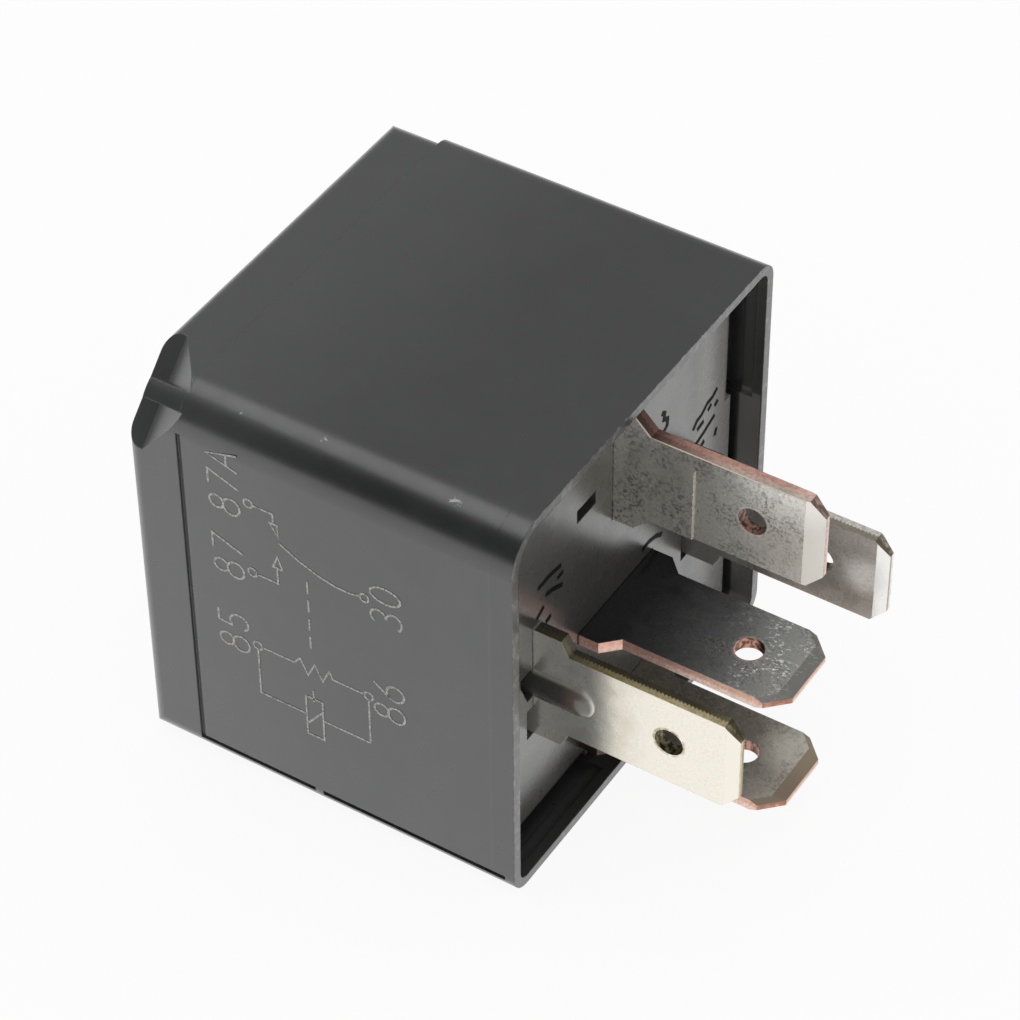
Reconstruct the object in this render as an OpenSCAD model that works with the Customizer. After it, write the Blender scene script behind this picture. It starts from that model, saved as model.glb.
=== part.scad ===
// Plug-in changeover relay: a cube-shaped cover on a base with five blade terminals.
// The relay lies on its side. The blades point along +X, the diagram face looks along -Y,
// and the common blade (30) is uppermost. Inside it, a coil pulls a hinged armature, and a
// leaf spring on the armature carries the moving contact from the rest contact to the
// working contact.
// In every module x = 0 is the rim of the cover, and x falls towards its closed end.

/* [Cover] */
// Length of the cover from its rim to its closed end
body_l = 25.6; // [25:0.1:28]
// Width of the cover, square to the diagram face
body_w = 28; // [27.4:0.1:31]
// Height of the cover as it lies
body_h = 28; // [27.6:0.1:31]
// Wall of the cover behind its mouth
cover_wall = 1; // [0.8:0.05:1.1]
// Thinner wall round the mouth
mouth_wall = 0.65; // [0.5:0.05:0.75]
// Radius of the large rounded edge between the diagram face and the top
big_r = 2.75; // [2:0.05:3.2]
// Radius of the other long edges
edge_r = 1.4; // [1.2:0.05:1.8]
// Radius of the edges round the closed end
end_r = 0.95; // [0.5:0.05:1.3]
// Length of the narrower cap at the closed end
cap_l = 3.7; // [3:0.1:5]
// How far the cap is set in from the far side
cap_side_step = 0.45; // [0.1:0.05:0.6]
// How far the cap is set in from the top
cap_top_step = 0.08; // [0.02:0.01:0.3]

/* [Keyed corner] */
// Reach of the 45 degree corner cut along both faces
cut_w = 4.9; // [4:0.1:5.5]
// Length of the cut's level floor from the closed end
cut_l = 1.2; // [0.8:0.1:1.8]
// Slope of the ramp that leads out of the cut
cut_ramp = 40; // [30:1:50]
// Thickness of the key rib that crosses the cut
key_rib_w = 1.2; // [0.8:0.1:1.6]

/* [Stop ribs] */
// Height of the stop ribs above the base plate's edge
stop_h = 0.5; // [0.3:0.1:0.7]
// Width of the stop ribs
stop_w = 0.8; // [0.6:0.1:1.2]
// Distance of the stop ribs from the middle of each wall
stop_at = 8; // [7:0.1:9]

/* [Diagram face] */
// Width of the groove that frames the diagram
groove_w = 0.35; // [0.2:0.05:0.6]
// Depth of that groove
groove_d = 0.2; // [0.1:0.05:0.3]
// Distance of the upright groove from the closed end
groove_end = 3.8; // [3:0.1:5]
// Height of the lower groove above the bottom edge
groove_z = 1.25; // [0.8:0.05:2]
// Distance of the upright groove's upper end from the top
groove_top = 2.5; // [2:0.1:4]
// Width of the bridge that interrupts the lower groove
bridge_w = 0.55; // [0.3:0.05:1]
// Distance of that bridge from the rim
bridge_x = 13.5; // [8:0.1:16]

/* [Base] */
// Depth of the base's face below the rim
base_recess = 1.85; // [1.4:0.05:2.2]
// Thickness of the base plate
base_t = 2.6; // [2.2:0.1:3]
// Gap between the base plate and the cover's mouth
base_gap = 0.45; // [0.2:0.05:0.6]
// Clearance of a terminal in its slot
slot_gap = 0.05; // [0.02:0.01:0.1]
// Depth of the latch pockets below the rim band
pocket_deep = 1.9; // [1.2:0.1:2.2]
// Width of the plain band between the rim and a pocket
rim_band = 0.66; // [0.4:0.02:1]
// How far a pocket is cut into the cover's mouth wall
pocket_bite = 0.25; // [0.1:0.05:0.3]
// Rounding of the base plate's edge beside a pocket
edge_round = 0.8; // [0.4:0.1:1.2]
// Length of the pocket beside the far wall
far_pocket_l = 9.5; // [6:0.1:11]
// Length of the pocket beside the bottom wall
low_pocket_l = 9.7; // [6:0.1:11]
// Distance of the small upper pocket's near edge from the middle plane
top_pocket_y = 4.35; // [3:0.05:5]
// Width of that pocket
top_pocket_w = 2; // [1:0.1:2.5]
// Height of that pocket
top_pocket_h = 0.95; // [0.5:0.05:1.2]
// Width of the pocket beside a coil terminal's root
root_pocket_w = 0.65; // [0.4:0.05:0.9]
// Length of that pocket
root_pocket_l = 2.25; // [1.5:0.05:2.5]
// Depth of these small pockets
face_pocket_d = 1.6; // [0.8:0.1:2]
// Width of the notch in the base plate for a coil terminal's bead
bead_notch_w = 1.3; // [0.8:0.1:1.6]
// Height of that notch at its outer end
bead_notch_h = 0.6; // [0.4:0.1:1]
// Thickness of the shelf that carries the contact carriers
shelf_t = 0.9; // [0.6:0.1:1]
// How far the shelf reaches past the carriers on each side
shelf_out = 0.4; // [0.2:0.1:0.8]
// Height of the fin between the carriers above them
fin_h = 0.65; // [0.4:0.05:0.9]
// Distance of the shelf's end from the working contact's carrier
shelf_end = 2; // [1:0.1:3]

/* [Blades] */
// Width of a blade
blade_w = 6.3; // [6.2:0.05:6.4]
// Thickness of a blade
blade_t = 0.8; // [0.7:0.05:0.9]
// Reach of the upright blades beyond the rim
blade_out = 11.4; // [10.5:0.1:13]
// How much shorter the two crosswise blades are
cross_short = 0.5; // [0.1:0.1:1]
// Corner cut at the tip of an upright blade
tip_cut = 0.95; // [0.6:0.05:1.4]
// Corner cut at the tip of a crosswise blade
cross_cut = 1.25; // [0.6:0.05:1.4]
// Length of the lead-in bevel at the common blade's tip
bevel_l = 1.2; // [0.8:0.1:1.8]
// Length of that bevel on the other four blades
short_bevel_l = 0.8; // [0.5:0.1:1.2]
// Length of the bevel along the corner cuts of a crosswise blade
corner_bevel_l = 0.35; // [0.2:0.05:0.6]
// Depth of the bevels on each face
bevel_d = 0.2; // [0.1:0.02:0.3]
// Radius of the detent hole
hole_r = 0.9; // [0.8:0.05:1.1]
// Distance of the detent hole from the rim
hole_x = 7; // [6:0.1:8]
// How much wider than the blade its root is at each edge
root_extra = 1; // [0.5:0.1:1.3]
// Distance beyond the rim at which a root's shoulders end
shoulder_x = 0.5; // [0.2:0.1:1]
// Length over which a coil blade's shoulders fall to the blade
coil_shoulder = 0.5; // [0.3:0.1:1]
// Extra thickness of the common terminal's root
coin_d = 0.12; // [0.06:0.02:0.2]
// Distance of that thickness step from the rim
coin_x = 3.3; // [2:0.1:4]
// Width of the thick strip left along the common blade's upper edge
coin_rim = 0.8; // [0.5:0.1:1.2]
// Corner radius of the pressed area
coin_r = 0.6; // [0.3:0.1:1]
// Width of the stiffening bead on a coil terminal
bead_w = 2.2; // [1.6:0.1:2.6]
// Height of that bead
bead_h = 0.55; // [0.3:0.05:0.7]
// Reach of that bead beyond the rim
bead_out = 2.2; // [1:0.1:3]
// Width of the common terminal's flange on the yoke
seat_w = 4.8; // [4.2:0.1:5]
// Height of that flange
seat_h = 5.4; // [4:0.1:6]
// Inner radius of that flange's bend
seat_r = 0.3; // [0.2:0.05:0.6]

/* [Blade pattern] */
// Distance of the common blade's root from the base plate's upper edge
top_margin = 0.45; // [0.35:0.05:0.8]
// Drop of the rest-contact blade 87a below mid-height
drop_87a = 2.4; // [2:0.1:2.6]
// Height of the working-contact blade 87
z_87 = 3.1; // [3:0.05:3.2]
// Drop of the coil blades 85 and 86 below mid-height
drop_coil = 1.6; // [1.2:0.1:2]
// Distance of the coil blades from the middle plane
y_coil = 8.6; // [8.4:0.1:9]

/* [Magnet] */
// Thickness of the yoke
yoke_t = 1.4; // [1.2:0.1:1.6]
// Width of the yoke
yoke_w = 11; // [10:0.5:12]
// Drop of the yoke's top face below the base plate's upper edge
yoke_drop = 1.4; // [1.3:0.05:1.6]
// Inner radius of the yoke's bend
yoke_bend_r = 0.6; // [0.4:0.1:1]
// Space behind the base plate for the bent terminal roots
root_space = 1.5; // [1.4:0.1:1.8]
// Radius of the coil's iron core
core_r = 2.6; // [2.2:0.1:2.8]
// Radius of the core's riveted tenon
tenon_r = 2; // [1.6:0.1:2.1]
// Radius of the core's pole face
pole_r = 4; // [3.4:0.1:4.4]
// Thickness of the core's pole face
pole_t = 1; // [0.8:0.1:1.2]
// Wall of the bobbin's tube
tube_wall = 0.75; // [0.5:0.05:0.9]
// Thickness of the bobbin's flanges
flange_t = 0.8; // [0.6:0.1:1]
// Rounding of the flanges' corners
flange_r = 1; // [0.5:0.1:2]
// Clearance between the coil and the contact carriers below it
coil_clear = 1.8; // [1.6:0.1:2.4]
// Clearance between the flanges and the coil terminals beside them
side_clear = 1.2; // [1:0.1:1.6]
// Wall of the flange's ears round a coil terminal
ear_w = 1.3; // [1:0.1:1.5]
// Gap between the bobbin's flange and the yoke
yoke_gap = 1; // [0.6:0.1:1.2]
// Depth by which the flanges stand above the winding
wind_inset = 0.7; // [0.4:0.1:1.2]
// Running gap between two parts that meet
touch_gap = 0.05; // [0.02:0.01:0.08]
// Width of a coil terminal's neck through the flange
neck_w = 3; // [2.4:0.1:3.4]
// Width of a coil terminal's leg
leg_w = 1.5; // [1.2:0.1:1.6]
// Distance of a coil terminal's leg behind the flange
leg_inset = 2.2; // [2:0.1:2.6]
// Length of the post for the coil's wire end
post_l = 1.6; // [1.4:0.1:1.8]
// Width of that post
post_w = 1; // [0.8:0.1:1.2]

/* [Armature and contacts] */
// Thickness of the armature
armature_t = 1.3; // [1:0.1:1.4]
// Width of the armature at its hinge
armature_w = 11; // [9:0.5:12]
// Width of the armature at its free end
armature_tip_w = 8; // [6:0.5:9]
// Clearance of the armature's free end above the contact carriers
tip_clear = 1.5; // [1.3:0.1:2.7]
// Height of the narrow part of the armature's free end
tip_h = 2; // [1:0.2:3]
// Depth of the slope along the armature's outer top edge, inside the spring's bend
armature_cut = 0.8; // [0.7:0.05:0.9]
// Drop of the hinge line below the yoke's top
hinge_drop = 0.15; // [0.1:0.05:0.25]
// Thickness of the leaf spring
spring_t = 0.25; // [0.15:0.05:0.3]
// Width of the leaf spring
spring_w = 8; // [7:0.5:9]
// Width of the leaf spring at the moving contact
spring_tip_w = 3.4; // [3:0.1:4]
// Inner radius of the spring's bend round the hinge
spring_r = 1.4; // [1.38:0.01:1.5]
// Length of the spring along the yoke
spring_run = 5.4; // [5:0.1:6.5]
// Height of the contacts
contact_z = 5.7; // [5.5:0.1:6]
// Radius of a contact's head
contact_r = 1.4; // [1.1:0.1:1.5]
// Thickness of a contact's head
contact_h = 0.7; // [0.5:0.05:0.8]
// Radius of a contact's domed face
dome_r = 6; // [4:0.5:8]
// Travel of the moving contact
contact_gap = 1; // [0.7:0.05:1.1]
// Width of the contact carriers
strip_w = 4.6; // [4:0.1:5]
// Half the gap between the two contact carriers
strip_split = 0.3; // [0.25:0.05:0.4]
// Margin of a contact carrier and of the spring beyond a contact's head
head_margin = 0.2; // [0.1:0.05:0.3]
// Height of the gap below a carrier's arm
arm_gap = 0.7; // [0.5:0.1:1]
// Height over which the spring narrows towards the moving contact
taper_h = 3; // [2:0.2:4]
// Clearance between the rest contact's carrier and the closed end
end_clear = 0.9; // [0.7:0.05:1.2]
// Height of a rivet's head
rivet_h = 0.5; // [0.3:0.05:0.55]
// Radius of a rivet's head
rivet_r = 1.1; // [1:0.1:1.4]
// Radius of a rivet's shank
shank_r = 0.7; // [0.5:0.05:0.8]
// Distance of the rivet pairs from the middle plane
rivet_y = 2.4; // [2:0.1:2.6]
// Distance of the yoke's rivets from the spring's end
rivet_inset = 1.8; // [1.5:0.1:2.2]
// Height of a riveted end that is upset behind its plate
upset_h = 0.25; // [0.15:0.05:0.3]

/* [Resistor] */
// Radius of the resistor's body
resistor_r = 1.2; // [1:0.1:1.3]
// Length of the resistor's body
resistor_l = 6.6; // [5:0.1:7.5]
// Length of the thicker ends of the resistor's body
cap_end_l = 1.4; // [1:0.1:1.8]
// Depth by which its middle is thinner than its ends
waist_d = 0.14; // [0.05:0.01:0.25]
// Length of a lead inside the resistor's body
lead_in = 0.7; // [0.4:0.1:0.9]
// Length of a lead beyond its terminal
lead_tail = 0.6; // [0.3:0.1:1]
// Radius of the resistor's leads
lead_r = 0.3; // [0.2:0.05:0.35]
// Height of the resistor
resistor_z = 6.2; // [6:0.1:6.5]
// Radius of the coil's wire ends
wire_r = 0.15; // [0.1:0.05:0.2]

/* [Hidden] */
$fn = 64;

// The part's origin is below the middle of its whole length
rim_x = (body_l - blade_out) / 2;
// How far a cut runs past the surface that it opens
past = 1;
// The contact carriers are of the blades' sheet
strip_t = blade_t;

// Depths along X, from the rim inwards
base_front = -base_recess;
base_back = base_front - base_t;
yoke_x = base_back - root_space;
yoke_back = yoke_x - yoke_t;
end_face = -body_l + cover_wall;

// Heights
plate_half_w = body_w / 2 - mouth_wall - base_gap;
plate_low = mouth_wall + base_gap;
plate_high = body_h - mouth_wall - base_gap;
root_w = blade_w + 2 * root_extra;
z_30 = plate_high - root_w / 2 - top_margin;
z_87a = body_h / 2 - drop_87a;
z_coil = body_h / 2 - drop_coil;
yoke_top = plate_high - yoke_drop;
arm_low = z_87 + blade_t / 2 + arm_gap;
arm_high = contact_z + contact_r + head_margin;
armature_low = arm_high + tip_clear;

// Depths along X, from the closed end outwards, with the armature pulled in
nc_back = end_face + end_clear;
nc_face = nc_back + strip_t + contact_h;
spring_back = nc_face + touch_gap + contact_h + contact_gap;
spring_front = spring_back + spring_t;
armature_face = spring_front + armature_t;
pole_face = armature_face + touch_gap;
pole_back = pole_face + pole_t;
no_face = spring_front + contact_h + touch_gap;
no_back = no_face + contact_h + strip_t;

// Bobbin and winding
bobbin_front = yoke_back - touch_gap;
bobbin_end = pole_back + touch_gap;
flange_top = yoke_top - yoke_t - yoke_gap;
flange_half = min(y_coil - blade_t / 2 - side_clear, (flange_top - arm_high - coil_clear) / 2);
core_z = flange_top - flange_half;
tube_r = core_r + touch_gap + tube_wall;
wind_r = flange_half - wind_inset;

// Hinge of the armature: it leans on the end of the yoke's long leg
hinge_z = yoke_top - hinge_drop;
contact_arm = hinge_z - contact_z;
rest_tilt = asin(contact_gap / contact_arm);
bend_x = armature_face
    + (-armature_t + spring_r + (hinge_drop - spring_r) * sin(rest_tilt)) / cos(rest_tilt);
bend_z = yoke_top - spring_r;
// Height, in the armature's own frame, at which the spring's bend meets its blade
blade_top = hinge_z + (bend_z - hinge_z) * cos(rest_tilt)
    + (bend_x - armature_face) * sin(rest_tilt);
yoke_rivet_x = bend_x + spring_run - rivet_inset;
armature_rivet_z = core_z + pole_r + rivet_r + shank_r;

// Blades and terminals
stock_t = blade_t + coin_d;
bead_r = (bead_w * bead_w / 4 + bead_h * bead_h) / (2 * bead_h);
strip_z = z_87 - blade_t / 2;
leg_back = bobbin_front - flange_t - touch_gap - leg_inset;
lead_x = leg_back + leg_w / 2;
lead_hole_r = lead_r + slot_gap;

// ---------- shared shapes ----------

// Flat outline in Y and Z, drawn out along X
module along_x(x0, x1) {
    translate([x0, 0, 0]) rotate([90, 0, 90]) linear_extrude(x1 - x0) children();
}

// Flat outline in X and Z, drawn out along Y about the middle plane
module along_y(w) {
    rotate([90, 0, 0]) linear_extrude(w, center = true) children();
}

// Flat outline in X and Y, drawn out along Z
module along_z(z0, z1) {
    translate([0, 0, z0]) linear_extrude(z1 - z0) children();
}

// Round rod along X
module rod_x(x0, x1, r) {
    translate([x0, 0, 0]) rotate([0, 90, 0]) cylinder(h = x1 - x0, r = r);
}

// Round rod along Y
module rod_y(y0, y1, r) {
    translate([0, y0, 0]) rotate([-90, 0, 0]) cylinder(h = y1 - y0, r = r);
}

// Waste outside a rounded corner at (x, y), whose body lies towards (-sx, -sy)
module corner_waste(x, y, sx, sy, r) {
    translate([x, y]) mirror([sx < 0 ? 1 : 0, 0]) mirror([0, sy < 0 ? 1 : 0])
        translate([-r, -r]) difference() {
            square(r + past);
            circle(r);
        }
}

// Cross-section of the cover with one large corner at low y and high z
module section(y0, y1, z0, z1, r, r_big) {
    difference() {
        translate([y0, z0]) square([y1 - y0, z1 - z0]);
        corner_waste(y0, z0, -1, -1, r);
        corner_waste(y1, z0, 1, -1, r);
        corner_waste(y1, z1, 1, 1, r);
        corner_waste(y0, z1, -1, 1, r_big);
    }
}

// The cover's cross-section, set in by g all round
module inset_section(g) {
    section(-body_w / 2 + g, body_w / 2 - g, g, body_h - g,
        max(edge_r - g, 0.2), max(big_r - g, 0.2));
}

// Bent strip: one leg along x, one along y, outer corner at the origin
module bent_profile(a, b, t, r) {
    translate([r + t, 0]) square([a - r - t, t]);
    translate([0, r + t]) square([t, b - r - t]);
    intersection() {
        translate([r + t, r + t]) difference() {
            circle(r + t);
            circle(r);
        }
        square(r + t);
    }
}

// ---------- cover ----------

// Corner cut with a level floor and a ramp, grown by g into the wall
module corner_notch(g) {
    far = body_l;
    foot = -body_l + cut_l + g * tan(cut_ramp / 2);
    translate([0, -body_w / 2 + cut_w / 2, body_h - cut_w / 2]) rotate([45, 0, 0])
        along_y(body_w) polygon([
            [-2 * far, -g], [foot, -g], [foot + far, -g + far * tan(cut_ramp)],
            [-2 * far, -g + far * tan(cut_ramp)]
        ]);
}

// Slab that keeps the rounded edge as a rib across the notch
module key_rib() {
    translate([-body_l + cut_l, -body_w / 2 + cut_w / 2, body_h - cut_w / 2])
        rotate([45, 0, 0]) translate([0, -key_rib_w / 2, -past])
            cube([body_l, key_rib_w, cut_w + past]);
}

// Narrower cap with rounded edges round the closed end
module cap_block() {
    y_far = body_w / 2 - cap_side_step;
    z_top = body_h - cap_top_step;
    intersection() {
        along_x(-body_l, -body_l + cap_l)
            section(-body_w / 2, y_far, 0, z_top, edge_r, big_r);
        along_z(-past, body_h + past) difference() {
            translate([-body_l, -body_w / 2]) square([cap_l + past, body_w]);
            corner_waste(-body_l, -body_w / 2, -1, -1, end_r);
            corner_waste(-body_l, y_far, -1, 1, end_r);
        }
        along_y(body_w + 2 * past) difference() {
            translate([-body_l, 0]) square([cap_l + past, body_h]);
            corner_waste(-body_l, 0, -1, -1, end_r);
            corner_waste(-body_l, z_top, -1, 1, end_r);
        }
    }
}

// Hollow of the cover behind its mouth, with the stop ribs left standing
module cavity() {
    side = cover_wall + cap_side_step;
    top = cover_wall + cap_top_step;
    difference() {
        along_x(end_face, past)
            section(-body_w / 2 + cover_wall, body_w / 2 - side, cover_wall,
                body_h - top, edge_r, big_r);
        corner_notch(cover_wall);
        stop_ribs();
    }
}

// Ribs along the four walls: the base plate stops against their ends
module stop_ribs() {
    y_in = plate_half_w - stop_h;
    for (s = [-1, 1]) {
        translate([end_face - past, s * stop_at - stop_w / 2, -past])
            cube([body_l, stop_w, plate_low + stop_h + past]);
        translate([end_face - past, s * stop_at - stop_w / 2, plate_high - stop_h])
            cube([body_l, stop_w, body_h]);
        for (m = [0, 1])
            mirror([0, m, 0])
                translate([end_face - past, y_in, body_h / 2 + s * stop_at - stop_w / 2])
                    cube([body_l, body_w, stop_w]);
    }
}

// Groove that frames the diagram on two sides
module frame_groove() {
    x_up = -body_l + groove_end;
    translate([x_up - groove_w / 2, -body_w / 2 - past, groove_z - groove_w / 2])
        cube([groove_w, past + groove_d, body_h - groove_top - groove_z + groove_w / 2]);
    difference() {
        translate([x_up, -body_w / 2 - past, groove_z - groove_w / 2])
            cube([-x_up - mouth_wall, past + groove_d, groove_w]);
        translate([-bridge_x - bridge_w / 2, -body_w / 2 - 2 * past, 0])
            cube([bridge_w, 4 * past, 2 * groove_z]);
    }
}

// Latch pockets in the cover's mouth, behind the plain rim band
module mouth_pockets() {
    depth = mouth_wall - pocket_bite;
    x_in = -rim_band - pocket_deep;
    translate([x_in, body_w / 2 - mouth_wall - past, plate_high - far_pocket_l])
        cube([pocket_deep, past + pocket_bite, far_pocket_l]);
    translate([x_in, -plate_half_w, depth])
        cube([pocket_deep, low_pocket_l, past + pocket_bite]);
}

module cover() {
    color("#3b3b3e") translate([rim_x, 0, 0]) difference() {
        union() {
            along_x(-body_l + cap_l, 0) inset_section(0);
            cap_block();
        }
        cavity();
        along_x(base_back, past) inset_section(mouth_wall);
        difference() {
            corner_notch(0);
            key_rib();
        }
        frame_groove();
        mouth_pockets();
    }
}

// ---------- base ----------

// Slot for a terminal's root, standing in the XZ plane
module upright_slot(y, z, t_low, t_high) {
    translate([base_back - past, y - t_low - slot_gap, z - root_w / 2 - slot_gap])
        cube([base_t + 2 * past, t_low + t_high + 2 * slot_gap, root_w + 2 * slot_gap]);
}

// Slot for a terminal's root, lying in the XY plane
module cross_slot(z) {
    translate([base_back - past, -root_w / 2 - slot_gap, z - blade_t / 2 - slot_gap])
        cube([base_t + 2 * past, root_w + 2 * slot_gap, blade_t + 2 * slot_gap]);
}

// Pocket in the base's face from (y0, z0), sized w by h
module face_pocket(y0, z0, w, h) {
    translate([base_front - face_pocket_d, y0, z0]) cube([face_pocket_d + past, w, h]);
}

// Notch beside a coil terminal for its bead, with a sloping lower side
module bead_notch(y) {
    half = bead_w / 2 + slot_gap;
    along_x(base_back - past, base_front + past) translate([y - blade_t / 2, z_coil]) polygon([
        [blade_t / 2, -half], [-bead_h - slot_gap, -half],
        [-bead_notch_w, half - bead_notch_h], [-bead_notch_w, half], [blade_t / 2, half]
    ]);
}

module base() {
    shelf_w = strip_split + strip_w + shelf_out;
    shelf_x = no_back + shelf_end;
    shelf_z = strip_z - touch_gap;
    color("#6d6d70") translate([rim_x, 0, 0]) difference() {
        union() {
            along_x(base_back, base_front) inset_section(mouth_wall + base_gap);
            // shelf and fin that keep the two contact carriers apart
            translate([shelf_x, -shelf_w, shelf_z - shelf_t])
                cube([base_back - shelf_x + past, 2 * shelf_w, shelf_t]);
            translate([shelf_x, -strip_split + touch_gap, shelf_z - shelf_t / 2])
                cube([base_back - shelf_x - 2 * strip_t, 2 * (strip_split - touch_gap),
                    shelf_t / 2 + touch_gap + strip_t + fin_h]);
        }
        upright_slot(0, z_30, blade_t / 2 + coin_d, blade_t / 2);
        for (s = [-1, 1]) {
            upright_slot(s * y_coil, z_coil, blade_t / 2, blade_t / 2);
            bead_notch(s * y_coil);
            // pocket beside the lower end of the root
            face_pocket(s * y_coil - blade_t / 2 - root_pocket_w, z_coil - root_w / 2 - slot_gap,
                root_pocket_w, root_pocket_l);
        }
        cross_slot(z_87a);
        cross_slot(z_87);
        // small pocket beside the common blade's root
        face_pocket(-top_pocket_y, z_30 - 1.5 * top_pocket_h, top_pocket_w, top_pocket_h);
        // rounded edges beside the cover's two pockets
        along_z(plate_high - far_pocket_l, plate_high + past)
            corner_waste(base_front, plate_half_w, 1, 1, edge_round);
        translate([0, -plate_half_w + low_pocket_l / 2, 0]) along_y(low_pocket_l)
            corner_waste(base_front, plate_low, 1, -1, edge_round);
    }
}

// ---------- terminals ----------

// Outline of a blade with its shouldered root, from x_in to its tip at reach
module blade_outline(reach, x_in, cut, shoulder) {
    polygon([
        [x_in, -root_w / 2], [shoulder_x - shoulder, -root_w / 2],
        [shoulder_x, -blade_w / 2], [reach - cut, -blade_w / 2],
        [reach, -blade_w / 2 + cut], [reach, blade_w / 2 - cut],
        [reach - cut, blade_w / 2], [shoulder_x, blade_w / 2],
        [shoulder_x - shoulder, root_w / 2], [x_in, root_w / 2]
    ]);
}

// Waste of a bevel of length l along an edge at x = 0, on both faces of a standing blade
module bevel_waste(l) {
    for (m = [0, 1])
        mirror([0, m, 0]) along_z(-blade_w, blade_w) polygon([
            [-l, blade_t / 2], [0, blade_t / 2 - bevel_d], [past, blade_t / 2 - bevel_d],
            [past, blade_t], [-l, blade_t]
        ]);
}

// Cuts that finish a blade's tip and detent hole, for a blade in the XZ plane
module blade_cuts(reach, l) {
    translate([reach, 0, 0]) bevel_waste(l);
    translate([hole_x, 0, 0]) rod_y(-blade_t, blade_t, hole_r);
}

// Crosswise blade, drawn standing in the XZ plane with its centre line on the X axis
module cross_blade(x_in) {
    reach = blade_out - cross_short;
    difference() {
        along_y(blade_t) blade_outline(reach, x_in, cross_cut, root_extra);
        blade_cuts(reach, short_bevel_l);
        for (m = [0, 1])
            mirror([0, 0, m])
                translate([reach - cross_cut / 2, 0, (blade_w - cross_cut) / 2])
                    rotate([0, -45, 0]) bevel_waste(corner_bevel_l);
    }
}

// Common terminal: its root is bent into a flange that is riveted to the yoke's foot
module terminal_30() {
    color("#a9a49a") translate([rim_x, 0, z_30]) {
        difference() {
            translate([0, -coin_d / 2, 0]) along_y(stock_t)
                blade_outline(blade_out, base_back, tip_cut, root_extra);
            coin_pocket();
            blade_cuts(blade_out, bevel_l);
        }
        difference() {
            translate([yoke_x + touch_gap, -blade_t / 2 - coin_d, 0])
                along_z(-seat_h / 2, seat_h / 2)
                    bent_profile(base_back - yoke_x - touch_gap, seat_w, stock_t, seat_r);
            translate([0, rivet_y, 0]) rod_x(yoke_x - past, base_back, shank_r + slot_gap);
        }
    }
}

// The common blade is pressed thinner than its root on the near face
module coin_pocket() {
    z_top = blade_w / 2 - coin_rim;
    translate([0, -blade_t / 2 - coin_d / 2, 0]) along_y(coin_d) difference() {
        translate([coin_x, -blade_w]) square([blade_out, blade_w + z_top]);
        corner_waste(coin_x, z_top, -1, 1, coin_r);
    }
}

// Coil terminal on side s: blade, bead, and a leg for the resistor and the coil's wire
module coil_terminal(s) {
    half = blade_t / 2;
    bead_run = bead_out - bead_w / 2;
    drop = z_coil - resistor_z;
    color("#b8b09c") translate([rim_x, s * y_coil, z_coil]) difference() {
        union() {
            along_y(blade_t) {
                blade_outline(blade_out, base_back, tip_cut, coil_shoulder);
                translate([leg_back, -neck_w / 2])
                    square([base_back - leg_back, neck_w]);
                translate([leg_back, -drop - past]) square([leg_w, drop]);
                translate([leg_back - post_l, -post_w / 2])
                    square([post_l, post_w]);
            }
            intersection() {
                translate([0, bead_r - half - bead_h, 0]) {
                    rod_x(base_back, bead_run, bead_r);
                    translate([bead_run, 0, 0]) sphere(bead_r);
                }
                translate([base_back, -half - bead_h, -bead_w / 2])
                    cube([bead_out - base_back, bead_h + half, bead_w]);
            }
        }
        // dent behind the bead
        translate([0, bead_r + half - bead_h, 0]) {
            rod_x(base_back - past, bead_run, bead_r);
            translate([bead_run, 0, 0]) sphere(bead_r);
        }
        blade_cuts(blade_out, short_bevel_l);
        translate([lead_x, 0, -drop]) rod_y(-blade_t, blade_t, lead_hole_r);
    }
}

module terminal_85() {
    coil_terminal(-1);
}

module terminal_86() {
    coil_terminal(1);
}

// Upturned end of a contact carrier: a post beside the middle and an arm across it
module carrier_end(x0, s) {
    arm_reach = contact_r + head_margin;
    difference() {
        along_x(x0, x0 + strip_t) {
            translate([s > 0 ? strip_split : -strip_split - strip_w, strip_z])
                square([strip_w, arm_high - strip_z]);
            translate([s > 0 ? -arm_reach : -strip_split - past, arm_low])
                square([arm_reach + strip_split + past, arm_high - arm_low]);
        }
        translate([0, 0, contact_z]) rod_x(x0 - past, x0 + strip_t + past, shank_r + slot_gap);
    }
}

// Flat run of a contact carrier along the bottom
module carrier_run(x0, x1, s) {
    translate([x0, s > 0 ? strip_split : -strip_split - strip_w, strip_z])
        cube([x1 - x0, strip_w, strip_t]);
}

module terminal_87() {
    color("#5a5653") translate([rim_x, 0, 0]) {
        translate([0, 0, z_87]) rotate([90, 0, 0])
            cross_blade(base_back + strip_t);
        // half of the root carries on into the relay
        translate([base_back - strip_t, -root_w / 2, strip_z])
            cube([2 * strip_t, root_w / 2 - strip_split, strip_t]);
        carrier_run(no_back - strip_t, base_back - touch_gap, -1);
        carrier_end(no_back - strip_t, -1);
    }
}

module terminal_87a() {
    riser_x = base_back - touch_gap - strip_t;
    color("#5a5653") translate([rim_x, 0, 0]) {
        translate([0, 0, z_87a]) rotate([90, 0, 0])
            cross_blade(riser_x + strip_t);
        translate([riser_x, strip_split, strip_z])
            cube([strip_t, strip_w, z_87a + blade_t / 2 - strip_z]);
        carrier_run(nc_back, riser_x + strip_t, 1);
        carrier_end(nc_back, 1);
    }
}

// ---------- magnet ----------

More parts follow.
